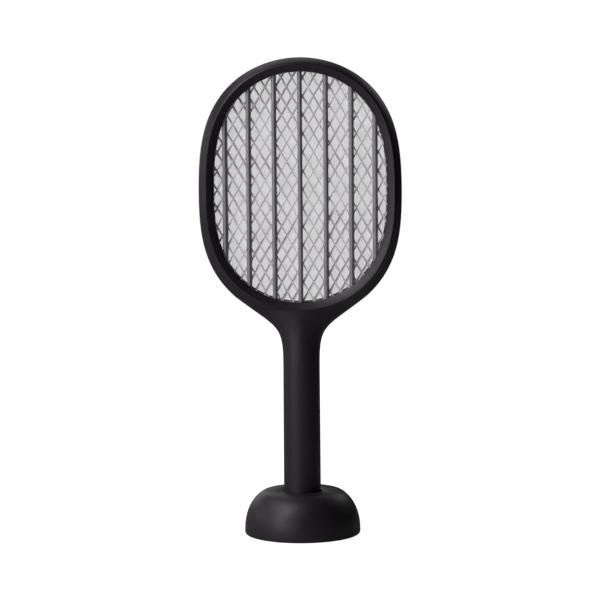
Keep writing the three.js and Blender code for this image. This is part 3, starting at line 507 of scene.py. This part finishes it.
def moved_out(points, distance):
    """A side outline moved away from the head's middle; ends on the centre line stay on it."""
    along = np.gradient(points, axis=0)
    along /= np.linalg.norm(along, axis=1, keepdims=True)
    moved = points + np.stack([-along[:, 1], along[:, 0]], axis=1) * distance
    for i, step in ((0, distance), (-1, -distance)):
        if abs(points[i][0]) < 1e-6:
            moved[i] = (0.0, points[i][1] + step)
    return moved


NECK_CURVE = bezier([
    (oval_half_width(HEAD_RIM, NECK_TOP), NECK_TOP),
    (23.1, 207.1),
    (HANDLE_R_TOP, 213.1),
    (HANDLE_R_TOP, NECK_BOTTOM),
], 240)
OPENING_SIDE = oval_side(OPENING, OPENING_TOP, OPENING_BOTTOM)
OPENING_SIDE[-1] = np.array((0.0, OPENING_BOTTOM))


def opening_loop(distance, count=90):
    """Closed outline that lies outside the opening's edge by the given distance."""
    side = moved_out(respace(OPENING_SIDE, count), distance)
    right = [tuple(p) for p in side]
    left = [(-x, z) for x, z in right[-2:0:-1]]
    return right + left


def ring_plate(name, inner, outer, y):
    """A flat oval ring round the opening."""
    inside = opening_loop(inner)
    outside = opening_loop(outer)
    count = len(inside)
    points = [(px, yy, pz) for yy in y for loop in (inside, outside) for px, pz in loop]
    faces = []
    for i in range(count):
        j = (i + 1) % count
        faces.append((i, j, count + j, count + i))
        faces.append((2 * count + i, 3 * count + i, 3 * count + j, 2 * count + j))
        faces.append((i, 2 * count + i, 2 * count + j, j))
        faces.append((count + i, count + j, 3 * count + j, 3 * count + i))
    return mesh_object(name, points, faces)


# ---------------------------------------------------------------- casing

RING_STATIONS = 84
NECK_STATIONS = 44
HANDLE_STATIONS = 6
PROFILE_STEPS = 18


def casing_stations():
    """Stations down the right side: outer edge, ridge and, round the head, the opening's edge."""
    rim = oval_side(HEAD_RIM, HEAD_TOP, NECK_TOP)
    edge = respace(rim + [p for p in NECK_CURVE[1:] if p[1] >= CREASE], RING_STATIONS)
    mouth = respace(OPENING_SIDE, RING_STATIONS)
    ridge = moved_out(mouth, BEVEL_WIDTH)
    stations = [{"edge": e, "ridge": r, "mouth": m} for e, r, m in zip(edge, ridge, mouth)]
    neck = np.array(NECK_CURVE)[::-1]
    start = edge[-1][1]
    for i in range(1, NECK_STATIONS + 1):
        z = lerp(start, NECK_BOTTOM, i / NECK_STATIONS)
        width = np.interp(z, neck[:, 1], neck[:, 0])
        stations.append({"edge": np.array((width, z)), "ridge": np.array((0.0, z)), "mouth": None})
    for i in range(1, HANDLE_STATIONS + 1):
        t = i / HANDLE_STATIONS
        z = lerp(NECK_BOTTOM, HANDLE_BOTTOM, t)
        width = lerp(HANDLE_R_TOP, HANDLE_R_BOTTOM, t)
        stations.append({"edge": np.array((width, z)), "ridge": np.array((0.0, z)), "mouth": None})
    return stations


def handle_radius(z):
    t = (NECK_BOTTOM - z) / (NECK_BOTTOM - HANDLE_BOTTOM)
    return lerp(HANDLE_R_TOP, HANDLE_R_BOTTOM, max(t, 0.0))


def skin(edge, ridge, inset):
    """One section of the casing's skin from the outer edge to the ridge, as (x, depth, z)."""
    round_part = 1 - smoothstep(edge[1], NECK_BOTTOM, ROUNDING_TOP)
    bulge_x = lerp(BULGE["x"], BULGE["round"], round_part)
    bulge_y = lerp(BULGE["y"], BULGE["round"], round_part)
    rim_edge = lerp(RIM_EDGE["head"], RIM_EDGE["handle"], round_part)
    deepen = 1 - smoothstep(edge[1], NECK_BOTTOM, CREASE)
    depth = lerp(RIDGE_DEPTH, handle_radius(edge[1]), deepen) - inset
    points = [(edge[0], PARTING, edge[1])]
    for i in range(PROFILE_STEPS + 1):
        out = math.cos(i / PROFILE_STEPS * math.pi / 2)
        rise = (1 - out ** bulge_x) ** (1 / bulge_y)
        px, pz = ridge + (edge - ridge) * out
        points.append((px, lerp(rim_edge, depth, rise), pz))
    return points


def parting_step(edge, inner_edge, side):
    """The front half's tongue, or the rear half's groove for it, from the inner wall outwards."""
    depth, share = (-TONGUE, 0.55) if side < 0 else (TONGUE + 0.2, 0.5)
    step = edge + (inner_edge - edge) * share
    return [(inner_edge[0], depth, inner_edge[1]), (step[0], depth, step[1]), (step[0], PARTING, step[1])]


def casing_half(name, side):
    """One half of the casing; side is -1 for the front and 1 for the back."""
    stations = casing_stations()
    edges = np.array([s["edge"] for s in stations])
    inner_edges = moved_out(edges[: RING_STATIONS + 1], -WALL)
    rows = []
    for i, station in enumerate(stations):
        inner_edge = inner_edges[i] if i <= RING_STATIONS else station["edge"] - (WALL, 0)
        outside = skin(station["edge"], station["ridge"], 0)
        inside = skin(inner_edge, station["ridge"], WALL)[::-1]
        inside = inside[:-1] + parting_step(station["edge"], inner_edge, side)
        lip = []
        if station["mouth"] is not None:
            lip = [(station["mouth"][0], depth, station["mouth"][1]) for depth in (LIP_FRONT, LIP_BACK)]
        rows.append((outside, lip, inside))
    points = []
    faces = []

    def strip(row_a, row_b):
        for mirror in (1, -1):
            start = len(points)
            points.extend((mirror * px, side * depth, pz) for px, depth, pz in row_a + row_b)
            count = len(row_a)
            for k in range(count - 1):
                faces.append((start + k, start + k + 1, start + count + k + 1, start + count + k))

    for i in range(len(rows) - 1):
        outside, lip, inside = rows[i]
        next_outside, next_lip, next_inside = rows[i + 1]
        if i < RING_STATIONS:
            section = outside + lip + inside + outside[:1]
            strip(section, next_outside + next_lip + next_inside + next_outside[:1])
        else:
            strip(outside, next_outside)
            strip(inside + outside[:1], next_inside + next_outside[:1])
    outside, _, inside = rows[-1]
    strip(outside, [inside[-1]] + inside[:-3][::-1])
    strip([inside[-1], inside[-2]], [inside[-4], inside[-3]])
    return mesh_object(name, points, faces)


def screw_places():
    """Where the casing screws are, from their CAD nodes."""
    places = []
    for i in range(1, 10):
        low, high = box_mm(f"casing_screw_{i}")
        places.append(((low[0] + high[0]) / 2, (low[2] + high[2]) / 2))
    return places


def make_casing():
    front = casing_half("front_casing", -1)
    bevel(front, 0.3)
    add_piece(front, "swatter", "casing", "front_shell")

    rear = casing_half("rear_casing", 1)
    through = (10, 25)
    trigger_hole = oblong(TRIGGER["half_width"] + GAP, TRIGGER["half_height"] + GAP, 0, TRIGGER["z"])
    slot_width, slot_height = SLIDER["slot"]
    slot = oblong(slot_width + GAP, slot_height + GAP, 0, SLIDER["z"] + SLIDER["travel"] / 2)
    cuts = [
        prism("cut", trigger_hole, through),
        prism("cut", slot, through),
        disc("cut", LENS["r"] + GAP, through, 0, LENS["z"]),
    ]
    cuts += [disc("cut", SCREW_BORE["r"], SCREW_BORE["y"], x, z) for x, z in screw_places()]
    combine(rear, cuts, "DIFFERENCE")
    bevel(rear, 0.3)
    add_piece(rear, "swatter", "casing", "rear_shell")
    for i, (x, z) in enumerate(screw_places(), 1):
        seat = disc(f"screw_seat_{i}", SCREW_BORE["seat_r"], SCREW_BORE["seat_y"], x, z)
        add_piece(seat, "swatter", "casing")


def make_casing_screws():
    """Pan-head screws with a cross recess."""
    shank = [(0, -6.0), (0.5, -6.0), (1.0, -5.2), (1.0, 5.3)]
    head = [(2.0, 5.3), (2.0, 6.3), (1.75, 6.85), (1.1, 7.1), (0, 7.1)]
    for i, (x, z) in enumerate(screw_places(), 1):
        screw = turned(f"casing_screw_head_{i}", shank + head, 32)
        for vertex in screw.data.vertices:
            px, py, pz = vertex.co
            vertex.co = (px + x * MM, pz, -py + z * MM)
        cross = [
            cuboid("cut", (x - 1.15, x + 1.15), (6.3, 8), (z - 0.25, z + 0.25)),
            cuboid("cut", (x - 0.25, x + 0.25), (6.3, 8), (z - 1.15, z + 1.15)),
        ]
        combine(screw, cross, "DIFFERENCE")
        add_piece(screw, "swatter", "steel", f"casing_screw_{i}")


# ---------------------------------------------------------------- layers of the head

def rod_span(x, end_offset):
    """Heights where a guard rod starts and ends: inside the rim, at both ends of the opening."""
    side = moved_out(respace(OPENING_SIDE, 200), end_offset)
    order = np.argsort(side[:, 1])
    heights = side[order, 1]
    widths = side[order, 0]
    inside = heights[widths >= abs(x)]
    return inside.min(), inside.max()


def make_guard(name, side, node):
    near, far = GUARD_LOW[1], GUARD_HIGH[1]
    middle = side * (near + far) / 2
    half_depth = (far - near) / 2 - 0.05
    rim = ring_plate(name, RIM_INSET, RIM_OUTSET, (middle - half_depth, middle + half_depth))
    bevel(rim, 0.5, segments=2)
    bm = bmesh.new()
    bm.from_mesh(rim.data)
    segments = 20
    for x in ROD_PLACES:
        low, high = rod_span(x, RIM_INSET + 1.5)
        rings = []
        for z in np.linspace(low, high, 9):
            ring = []
            for k in range(segments):
                angle = 2 * math.pi * k / segments
                ring.append(bm.verts.new((
                    (x + ROD_WIDTH / 2 * math.cos(angle)) * MM,
                    (middle + half_depth * 0.96 * math.sin(angle)) * MM,
                    z * MM,
                )))
            rings.append(ring)
        for ring, above in zip(rings, rings[1:]):
            for k in range(segments):
                n = (k + 1) % segments
                bm.faces.new((ring[k], ring[n], above[n], above[k]))
        bm.faces.new(rings[0][::-1])
        bm.faces.new(rings[-1])
    bmesh.ops.recalc_face_normals(bm, faces=bm.faces)
    bm.to_mesh(rim.data)
    bm.free()
    add_piece(rim, "swatter", "guard", node)


def clip_to_oval(obj, distance, sides=64):
    """Cuts a flat sheet off where it leaves the opening's outline, moved out by the given distance."""
    loop = np.array(opening_loop(distance, sides // 2))
    bm = bmesh.new()
    bm.from_mesh(obj.data)
    for here, following in zip(loop, np.roll(loop, -1, axis=0)):
        along = (following - here) / np.linalg.norm(following - here)
        bmesh.ops.bisect_plane(
            bm,
            geom=bm.verts[:] + bm.edges[:] + bm.faces[:],
            plane_co=(here[0] * MM, 0, here[1] * MM),
            plane_no=(-along[1], 0, along[0]),
            clear_outer=True,
        )
    bm.to_mesh(obj.data)
    bm.free()


# Waves that put a sheet or net out of true: size and length in millimetres, phase and direction in radians
WAVES = [(0.45, 27.0, 0.4, 1.1), (0.35, 19.0, 2.1, -0.8), (0.25, 41.0, 4.4, 0.5)]


def wavy(x, z, quarter):
    """How far a sheet or net is out of true at a point, in millimetres."""
    total = 0.0
    for size, length, phase, turn in WAVES:
        along = x * math.cos(turn + quarter) + z * math.sin(turn + quarter)
        total += size * math.sin(2 * math.pi * along / length + phase)
    return total


def make_diamond_mesh(name, side, tilt, node, seed):
    """Expanded metal: rhombic cells, each a frame of four strands shared with its neighbours."""
    chance = random.Random(seed)
    y_middle = side * (MESH_LOW[1] + MESH_HIGH[1]) / 2
    half_w = DIAMOND_WIDTH / 2
    half_h = DIAMOND_HEIGHT / 2
    columns = int(100 / half_w)
    rows = int(130 / half_h)
    corners = {}

    def corner(a, b):
        if (a, b) not in corners:
            x = (a + 0.5) * half_w + chance.uniform(-0.14, 0.14)
            z = (b + 0.5) * half_h + MESH_PHASE + chance.uniform(-0.22, 0.22)
            x += SHEET_DRIFT * wavy(x / 2, z / 2, seed)
            z += SHEET_DRIFT * wavy(x / 2, z / 2, seed + math.pi / 2)
            y = y_middle + chance.uniform(-0.1, 0.1)
            turned_x = x * math.cos(tilt) + z * math.sin(tilt)
            turned_z = z * math.cos(tilt) - x * math.sin(tilt)
            corners[(a, b)] = np.array((turned_x, y, HEAD_CENTRE + turned_z))
        return corners[(a, b)]

    lean = math.atan2(DIAMOND_WIDTH, DIAMOND_HEIGHT)
    inset_across = STRAND / 2 / math.cos(lean)
    inset_up = STRAND / 2 / math.sin(lean)
    points = []
    faces = []
    for a in range(-columns, columns + 1):
        for b in range(-rows, rows + 1):
            if (a + b) % 2 == 0:
                continue
            around = [corner(a + 1, b), corner(a, b + 1), corner(a - 1, b), corner(a, b - 1)]
            centre = np.mean(around, axis=0)
            start = len(points)
            points.extend(around)
            for k, point in enumerate(around):
                offset = point - centre
                inset = inset_up if k % 2 else inset_across
                points.append(centre + offset * (1 - inset / np.linalg.norm(offset)))
            for k in range(4):
                n = (k + 1) % 4
                faces.append((start + k, start + n, start + 4 + n, start + 4 + k))
    sheet = mesh_object(name, points, faces)
    clip_to_oval(sheet, RIM_INSET + 2.4)
    thick = sheet.modifiers.new("thickness", "SOLIDIFY")
    thick.thickness = SHEET_THICKNESS * MM
    thick.offset = 0
    bake(sheet)
    join(sheet, ring_plate("rim", RIM_INSET, RIM_OUTSET, (y_middle - 0.38, y_middle + 0.38)))
    add_piece(sheet, "swatter", "mesh", node)


def make_middle_net():
    """Fine wires in two directions, a little out of true, soldered into the rim."""
    edge = moved_out(respace(OPENING_SIDE, 300), RIM_INSET + 1)
    order = np.argsort(edge[:, 1])
    heights, widths = edge[order, 1], edge[order, 0]
    half = NET_WIRE / 2
    points = []
    faces = []

    def wire(route, across, y):
        """A square wire along a route of (x, z) points; across is the direction of its width."""
        start = len(points)
        for x, z in route:
            for side, depth in ((-half, y - half), (half, y - half), (half, y + half), (-half, y + half)):
                points.append((x + side * across[0], depth, z + side * across[1]))
        last = len(route) - 1
        for i in range(last):
            for k in range(4):
                n = (k + 1) % 4
                a = start + 4 * i
                faces.append((a + k, a + n, a + 4 + n, a + 4 + k))
        faces.append(tuple(start + k for k in range(4)))
        faces.append(tuple(start + 4 * last + k for k in range(4)))

    for i in range(-int(max(widths) / NET_PITCH), int(max(widths) / NET_PITCH) + 1):
        x = i * NET_PITCH
        rows = heights[widths >= abs(x)]
        steps = max(int((rows.max() - rows.min()) / NET_STEP), 1)
        route = [(x + wavy(x, z, 0.0), z) for z in np.linspace(rows.min(), rows.max(), steps + 1)]
        wire(route, (1, 0), -0.19)
    reach = int((heights[-1] - heights[0]) / 2 / NET_PITCH)
    for i in range(-reach, reach + 1):
        z = HEAD_CENTRE + i * NET_PITCH
        width = float(np.interp(z, heights, widths))
        steps = max(int(2 * width / NET_STEP), 1)
        route = [(x, z + wavy(x, z, math.pi / 2)) for x in np.linspace(-width, width, steps + 1)]
        wire(route, (0, 1), 0.19)
    net = mesh_object("fine_net", points, faces)
    join(net, ring_plate("rim", RIM_INSET, RIM_OUTSET, (-0.58, 0.58)))
    add_piece(net, "swatter", "net", "middle_net")


# ---------------------------------------------------------------- handle details

def make_end_cap():
    bottom = HANDLE_REST
    top = HANDLE_BOTTOM - GAP
    edge = [(17.5, bottom), (18.0, bottom + 0.15), (18.35, bottom + 0.5), (18.5, bottom + 1.0)]
    plug = [(16.2, top), (16.2, 18.5), (13.8, 18.5), (13.8, 14.6), (0, 14.6)]
    cap = turned("handle_end_cap", [(0, bottom)] + edge + [(18.5, top)] + plug)
    pockets = [turned("cut", [(0, 9), (2.6, 9), (2.6, 12.9), (0, 12.9)], 40, s * CONTACT_X) for s in (-1, 1)]
    stems = [turned("cut", [(0, 12), (1.1, 12), (1.1, 16), (0, 16)], 24, s * CONTACT_X) for s in (-1, 1)]
    combine(cap, pockets + stems, "DIFFERENCE")
    bevel(cap, 0.2, segments=2)
    add_piece(cap, "swatter", "casing", "end_cap")
    for side, word in ((-1, "left"), (1, "right")):
        pad = turned(f"charging_pad_{word}", [
            (0, 11.5), (1.9, 11.5), (2.2, 11.62), (2.3, 11.8), (2.3, 12.6), (0.8, 12.6), (0.8, 16.6),
            (0, 16.6),
        ], 40, side * CONTACT_X)
        add_piece(pad, "swatter", "contacts", f"contact_pad_{word}")


def rounded_pad(name, half_x, half_z, z, levels):
    """An oblong pad bent to the handle's roundness, from (inset, y) levels between its two faces."""
    rim = oblong(half_x, half_z, 0, 0, 16)
    count = len(rim)
    reach = half_z - half_x
    points = []
    for inset, y in levels:
        for px, pz in rim:
            spine_z = min(max(pz, -reach), reach)
            share = 1 - inset / half_x
            x = px * share
            drop = HANDLE_R_TOP - math.sqrt(HANDLE_R_TOP ** 2 - x ** 2)
            points.append((x, y - drop, z + spine_z + (pz - spine_z) * share))
    faces = [tuple(range(count)), tuple(range((len(levels) - 1) * count, len(levels) * count))]
    for level in range(len(levels) - 1):
        for k in range(count):
            n = (k + 1) % count
            low, high = level * count, (level + 1) * count
            faces.append((low + k, low + n, high + n, high + k))
    return mesh_object(name, points, faces)


def make_trigger():
    """Soft button with a shallow thumb hollow, its keeper and its stem."""
    z = TRIGGER["z"]
    edge = [(0, 13.4), (0, 18.3), (0.06, 18.7), (0.25, 19.05), (0.55, 19.3), (0.95, 19.42)]
    hollow = [(1.6, 19.4), (2.6, 19.22), (3.8, 19.02), (5.0, 18.92), (5.8, 18.9)]
    button = rounded_pad("trigger_pad", TRIGGER["half_width"], TRIGGER["half_height"], z, edge + hollow)
    join(button, prism("keeper", oblong(7.3, 12.3, 0, z), (12.2, 13.5)))
    join(button, disc("stem", 2.2, (9.3, 12.4), 0, z))
    add_piece(button, "trigger", "rubber", "trigger_button")


def make_slider():
    """Thumb slide with five grip ribs, and the neck, keeper and prongs behind it."""
    middle = SLIDER["z"]
    under = [(4.2, 18.95), (2.0, 18.95), (0.4, 18.95), (0.1, 19.05), (0, 19.3)]
    over = [(0, 19.8), (0.12, 20.1), (0.4, 20.3), (0.8, 20.38), (2.0, 20.4), (4.2, 20.4)]
    cap = rounded_pad("slider_cap", SLIDER["half_width"], SLIDER["half_height"], middle, under + over)
    for dz in (-3.0, -1.5, 0.0, 1.5, 3.0):
        rib = prism("rib", oblong(2.7, 0.38, 0, middle + dz, 6), (19.9, 20.75))
        bevel(rib, 0.18, segments=2)
        join(cap, rib)
    join(cap, cuboid("neck", (-1.8, 1.8), (14.4, 19.2), (middle - 1.9, middle + 1.9)))
    join(cap, cuboid("keeper", (-4, 4), (14.2, 15.2), (middle - 4.4, middle + 4.4)))
    for side in (-1, 1):
        z = middle + side * 2.5
        join(cap, cuboid("prong", (-1.5, 1.5), (10.4, 14.4), (z - 0.7, z + 0.7)))
    add_piece(cap, "slider", "casing", "power_slider")


def make_lens():
    """Light pipe of the status lamp, with the collar that keeps it in the casing."""
    r = LENS["r"]
    collar = [(r, 14.4), (2.3, 14.4), (2.3, 15.6), (r, 15.6)]
    face = [(r, 18.1), (1.2, 18.4), (0.6, 18.5), (0, 18.5)]
    lens = turned("status_lens", [(0, 8.3), (r, 8.3)] + collar + face, 32)
    for vertex in lens.data.vertices:
        px, py, pz = vertex.co
        vertex.co = (px, pz, -py + LENS["z"] * MM)
    add_piece(lens, "swatter", "lens", "indicator_lens")


# ---------------------------------------------------------------- dock

def dome_curve(inset, steps):
    """The dome's section from its flat top to its widest line."""
    points = []
    for i in range(steps + 1):
        swing = i / steps * math.pi / 2
        r = DOME["flat_r"] + (DOME["r"] - inset - DOME["flat_r"]) * math.sin(swing) ** (2 / DOME["m"])
        rise = max(math.cos(swing), 0) ** (2 / DOME["n"])
        points.append((r, lerp(DOME["widest"], DOME["top"] - inset, rise)))
    return points


def make_dome():
    top = DOME["top"]
    r = DOME["r"]
    under = top - DOME["wall"]
    profile = [(SOCKET_R, top - 0.7), (SOCKET_R + 0.12, top - 0.35), (SOCKET_R + 0.35, top - 0.1)]
    profile += [(SOCKET_R + 0.7, top), ((SOCKET_R + DOME["flat_r"]) / 2, top)]
    profile += dome_curve(0, 40)
    profile += [(r - 0.06, 1.9), (r - 0.25, 1.2), (r - 0.55, 0.7), (r - 1.0, DOME["bottom"])]
    profile += [(r - DOME["wall"] - 0.2, DOME["bottom"])]
    profile += dome_curve(DOME["wall"], 20)[::-1] + [(SOCKET_R, under)]
    dome = turned("dock_dome", profile, 160)
    slot = oblong(INLET["half_width"] + GAP, INLET["half_height"] + GAP, 0, INLET["z"])
    combine(dome, [prism("cut", slot, (INLET["y"][0], r + 3.5))], "DIFFERENCE")
    add_piece(dome, "dock", "casing", "base_dome")


def make_socket():
    wall = SOCKET_R + 1.9
    rim = DOME["top"] - DOME["wall"] - GAP
    floor = SOCKET_FLOOR
    outside = [(0, floor - 2), (wall, floor - 2), (wall, rim - 2.4)]
    flange = [(wall + 4.5, rim - 2.4), (wall + 4.5, rim), (SOCKET_R, rim)]
    inside = [(SOCKET_R, floor + 1.0), (SOCKET_R - 0.3, floor + 0.3), (SOCKET_R - 1.0, floor), (0, floor)]
    cup = turned("dock_socket", outside + flange + inside)
    holes = [turned("cut", [(0, 5), (1.7, 5), (1.7, 12), (0, 12)], 32, s * CONTACT_X) for s in (-1, 1)]
    combine(cup, holes, "DIFFERENCE")
    length = (REST_RIB["inner"], REST_RIB["outer"])
    for angle in REST_RIB["angles"]:
        rib = cuboid("rib", length, REST_RIB["y"], (floor - 0.5, floor + REST_RIB["height"]))
        bevel(rib, 0.25, segments=2)
        rib.data.transform(Matrix.Rotation(math.radians(angle), 4, "Z"))
        join(cup, rib)
    add_piece(cup, "dock", "casing", "socket_cup")
    for side, word in ((-1, "left"), (1, "right")):
        x = side * CONTACT_X
        barrel = turned(f"contact_barrel_{word}", [
            (0, 6.9), (1.4, 6.9), (1.4, 10.2), (1.25, 10.4), (0.95, 10.4), (0.95, 7.4), (0, 7.4),
        ], 32, x)
        add_piece(barrel, "dock", "contacts", f"pin_barrel_{word}")
        tip = turned(f"contact_pin_{word}", [
            (0, 8.7), (0.65, 8.7), (0.65, 10.7), (0.58, 10.95), (0.4, 11.12), (0.2, 11.18), (0, 11.2),
        ], 32, x)
        add_piece(tip, f"{word}_pin", "contacts", f"spring_pin_{word}")


def make_underside():
    r = DOME["r"] - DOME["wall"] - 0.7
    plate = turned("dock_bottom", [
        (0, 1.1), (20, 1.1), (20.6, 0.9), (49.2, 0.9), (49.2, 1.8), (55.1, 1.8), (55.1, 0.9), (r - 0.3, 0.9),
        (r, 1.2), (r, 3.3), (0, 3.3),
    ], 128)
    cuts = []
    for x, y in BASE_SCREW_PLACES:
        cuts.append(turned("cut", [(0, 0), (3, 0), (3, 2.1), (1.5, 2.1), (1.5, 5), (0, 5)], 32, x, y))
    combine(plate, cuts, "DIFFERENCE")
    for x, y in ((16, 0), (-16, 0), (0, -16)):
        join(plate, turned("prop", [(0, 3.2), (2.4, 3.2), (2.4, 7.7), (0, 7.7)], 24, x, y))
    add_piece(plate, "dock", "casing", "bottom_plate")
    foot = turned("rubber_foot", [
        (49.5, 0.5), (49.65, 0.15), (50.0, 0.0), (54.3, 0.0), (54.65, 0.15), (54.8, 0.5), (54.8, 1.5),
        (49.5, 1.5),
    ], 128)
    add_piece(foot, "dock", "rubber", "foot_ring")
    for i, (x, y) in enumerate(BASE_SCREW_PLACES, 1):
        screw = turned(f"bottom_screw_{i}", [
            (0, 1.0), (2.2, 1.0), (2.5, 1.15), (2.6, 1.35), (2.6, 1.8), (1.2, 1.8), (1.2, 13.2), (0.5, 14),
            (0, 14),
        ], 32, x, y)
        cross = [
            cuboid("cut", (x - 1.5, x + 1.5), (y - 0.28, y + 0.28), (0, 1.5)),
            cuboid("cut", (x - 0.28, x + 0.28), (y - 1.5, y + 1.5), (0, 1.5)),
        ]
        combine(screw, cross, "DIFFERENCE")
        add_piece(screw, "dock", "steel", f"base_screw_{i}")


def make_inlet():
    z, half_width, half_height, y = INLET["z"], INLET["half_width"], INLET["half_height"], INLET["y"]
    shell = prism("inlet_shell", oblong(half_width, half_height, 0, z), y)
    mouth = prism("cut", oblong(half_width - 0.35, half_height - 0.35, 0, z), (y[0] + 1.2, y[1] + 1))
    combine(shell, [mouth], "DIFFERENCE")
    bevel(shell, 0.1, segments=2)
    tongue = cuboid("tongue", (-3.3, 3.3), (y[0] + 1, y[1] - 0.9), (z - 0.35, z + 0.35))
    bevel(tongue, 0.1, segments=2)
    join(shell, tongue)
    add_piece(shell, "dock", "steel", "charging_inlet")


# ---------------------------------------------------------------- stage, camera, light

CAMERA_PLACE = (0.0003, -2.09, 0.4176)
AIM_PITCH = math.radians(4.951)
CAMERA_ROLL = math.radians(0.43)
FOCAL_LENGTH = 125.25
SENSOR_WIDTH = 36.0


def make_camera():
    data = bpy.data.cameras.new("camera")
    data.lens = FOCAL_LENGTH
    data.sensor_width = SENSOR_WIDTH
    camera = bpy.data.objects.new("camera", data)
    camera.location = CAMERA_PLACE
    camera.rotation_euler = (math.pi / 2 - AIM_PITCH, CAMERA_ROLL, 0)
    bpy.context.scene.collection.objects.link(camera)
    bpy.context.scene.camera = camera


AMBIENT = 0.01
SOFTBOX_DISTANCE = 2.3
SOFTBOX_AIM_HEIGHT = 0.25
# Softboxes round the object: direction from the camera's side in degrees (negative to the left), height
# in degrees, width and height in metres, power in watts
SOFTBOXES = {
    "key_high": (-46, 50, 0.9, 0.8, 15.5),
    "key_middle": (-50, 25, 0.8, 0.8, 9.9),
    "key_low": (-52, 5, 0.8, 0.8, 5.0),
    "left_high": (-85, 50, 1.4, 0.8, 8.0),
    "left_low": (-100, 12, 1.2, 1.0, 5.0),
    "front_low": (-28, 6, 1.2, 0.8, 4.3),
    "back_high": (-165, 50, 1.6, 0.8, 5.4),
    "back_left": (-150, 12, 1.2, 0.8, 3.8),
    "back_right": (142, 28, 0.9, 0.8, 3.2),
    "back_low": (-170, 14, 0.6, 0.5, 1.6),
    "below_front": (-15, -50, 1.2, 1.0, 5.0),
    "below_back": (165, -45, 1.6, 1.2, 8.0),
}


def make_lights():
    target = Vector((0, 0, SOFTBOX_AIM_HEIGHT))
    for name, (azimuth, elevation, width, height, power) in SOFTBOXES.items():
        around, up = math.radians(azimuth), math.radians(elevation)
        towards = Vector((math.sin(around) * math.cos(up), -math.cos(around) * math.cos(up), math.sin(up)))
        data = bpy.data.lights.new(name, "AREA")
        data.shape = "RECTANGLE"
        data.size, data.size_y = width, height
        data.energy = power
        light = bpy.data.objects.new(name, data)
        light.location = target + towards * SOFTBOX_DISTANCE
        light.rotation_euler = (-towards).to_track_quat("-Z", "Y").to_euler()
        light.visible_camera = False
        bpy.context.scene.collection.objects.link(light)


def camera_only(tree, strength):
    """A value that camera rays see as the given strength and every other ray as nothing."""
    ray = tree.nodes.new("ShaderNodeLightPath")
    scale = tree.nodes.new("ShaderNodeMath")
    scale.operation = "MULTIPLY"
    scale.inputs[1].default_value = strength
    tree.links.new(ray.outputs["Is Camera Ray"], scale.inputs[0])
    return scale.outputs[0]


def make_floor():
    """Pale floor, just under the feet; clear from below, and it lets the low lights reach the underside."""
    bpy.ops.mesh.primitive_plane_add(size=40)
    floor = bpy.context.object
    floor.name = "floor"
    floor.location.z = -0.3 * MM
    n = Nodes("pale_floor")
    n.set(Base_Color=(0.35, 0.35, 0.35, 1), Roughness=0.9, Specular_IOR_Level=0.1)
    n.set(Emission_Color=(1, 1, 1, 1))
    n.drive("Emission Strength", camera_only(n.tree, 1.0))
    clear = n.add("ShaderNodeMath", operation="MAXIMUM")
    n.link(n.add("ShaderNodeNewGeometry").outputs["Backfacing"], clear.inputs[0])
    n.link(n.add("ShaderNodeLightPath").outputs["Is Shadow Ray"], clear.inputs[1])
    see_through = n.add("ShaderNodeBsdfTransparent")
    mix = n.add("ShaderNodeMixShader")
    n.link(clear.outputs["Value"], mix.inputs["Fac"])
    n.link(n.shader.outputs["BSDF"], mix.inputs[1])
    n.link(see_through.outputs["BSDF"], mix.inputs[2])
    n.link(mix.outputs["Shader"], n.tree.nodes["Material Output"].inputs["Surface"])
    floor.data.materials.append(n.material)


def make_world():
    """White to the camera; a dim studio to everything else."""
    world = bpy.data.worlds.new("studio")
    world.use_nodes = True
    tree = world.node_tree
    background = tree.nodes["Background"]
    background.inputs["Color"].default_value = (1, 1, 1, 1)
    brightness = tree.nodes.new("ShaderNodeMath")
    brightness.operation = "ADD"
    brightness.inputs[1].default_value = AMBIENT
    tree.links.new(camera_only(tree, 1.0), brightness.inputs[0])
    tree.links.new(brightness.outputs[0], background.inputs["Strength"])
    bpy.context.scene.world = world


make_camera()
make_world()
make_lights()
make_floor()
dress_cad_nodes()
make_casing()
make_casing_screws()
make_guard("front_rods", -1, "front_guard")
make_guard("rear_rods", 1, "rear_guard")
make_diamond_mesh("front_diamond_mesh", -1, 0.0, "front_mesh", 7)
make_diamond_mesh("rear_diamond_mesh", 1, REAR_TILT, "rear_mesh", 19)
make_middle_net()
make_end_cap()
make_trigger()
make_slider()
make_lens()
make_dome()
make_socket()
make_underside()
make_inlet()
bpy.context.scene.view_settings.view_transform = "Standard"
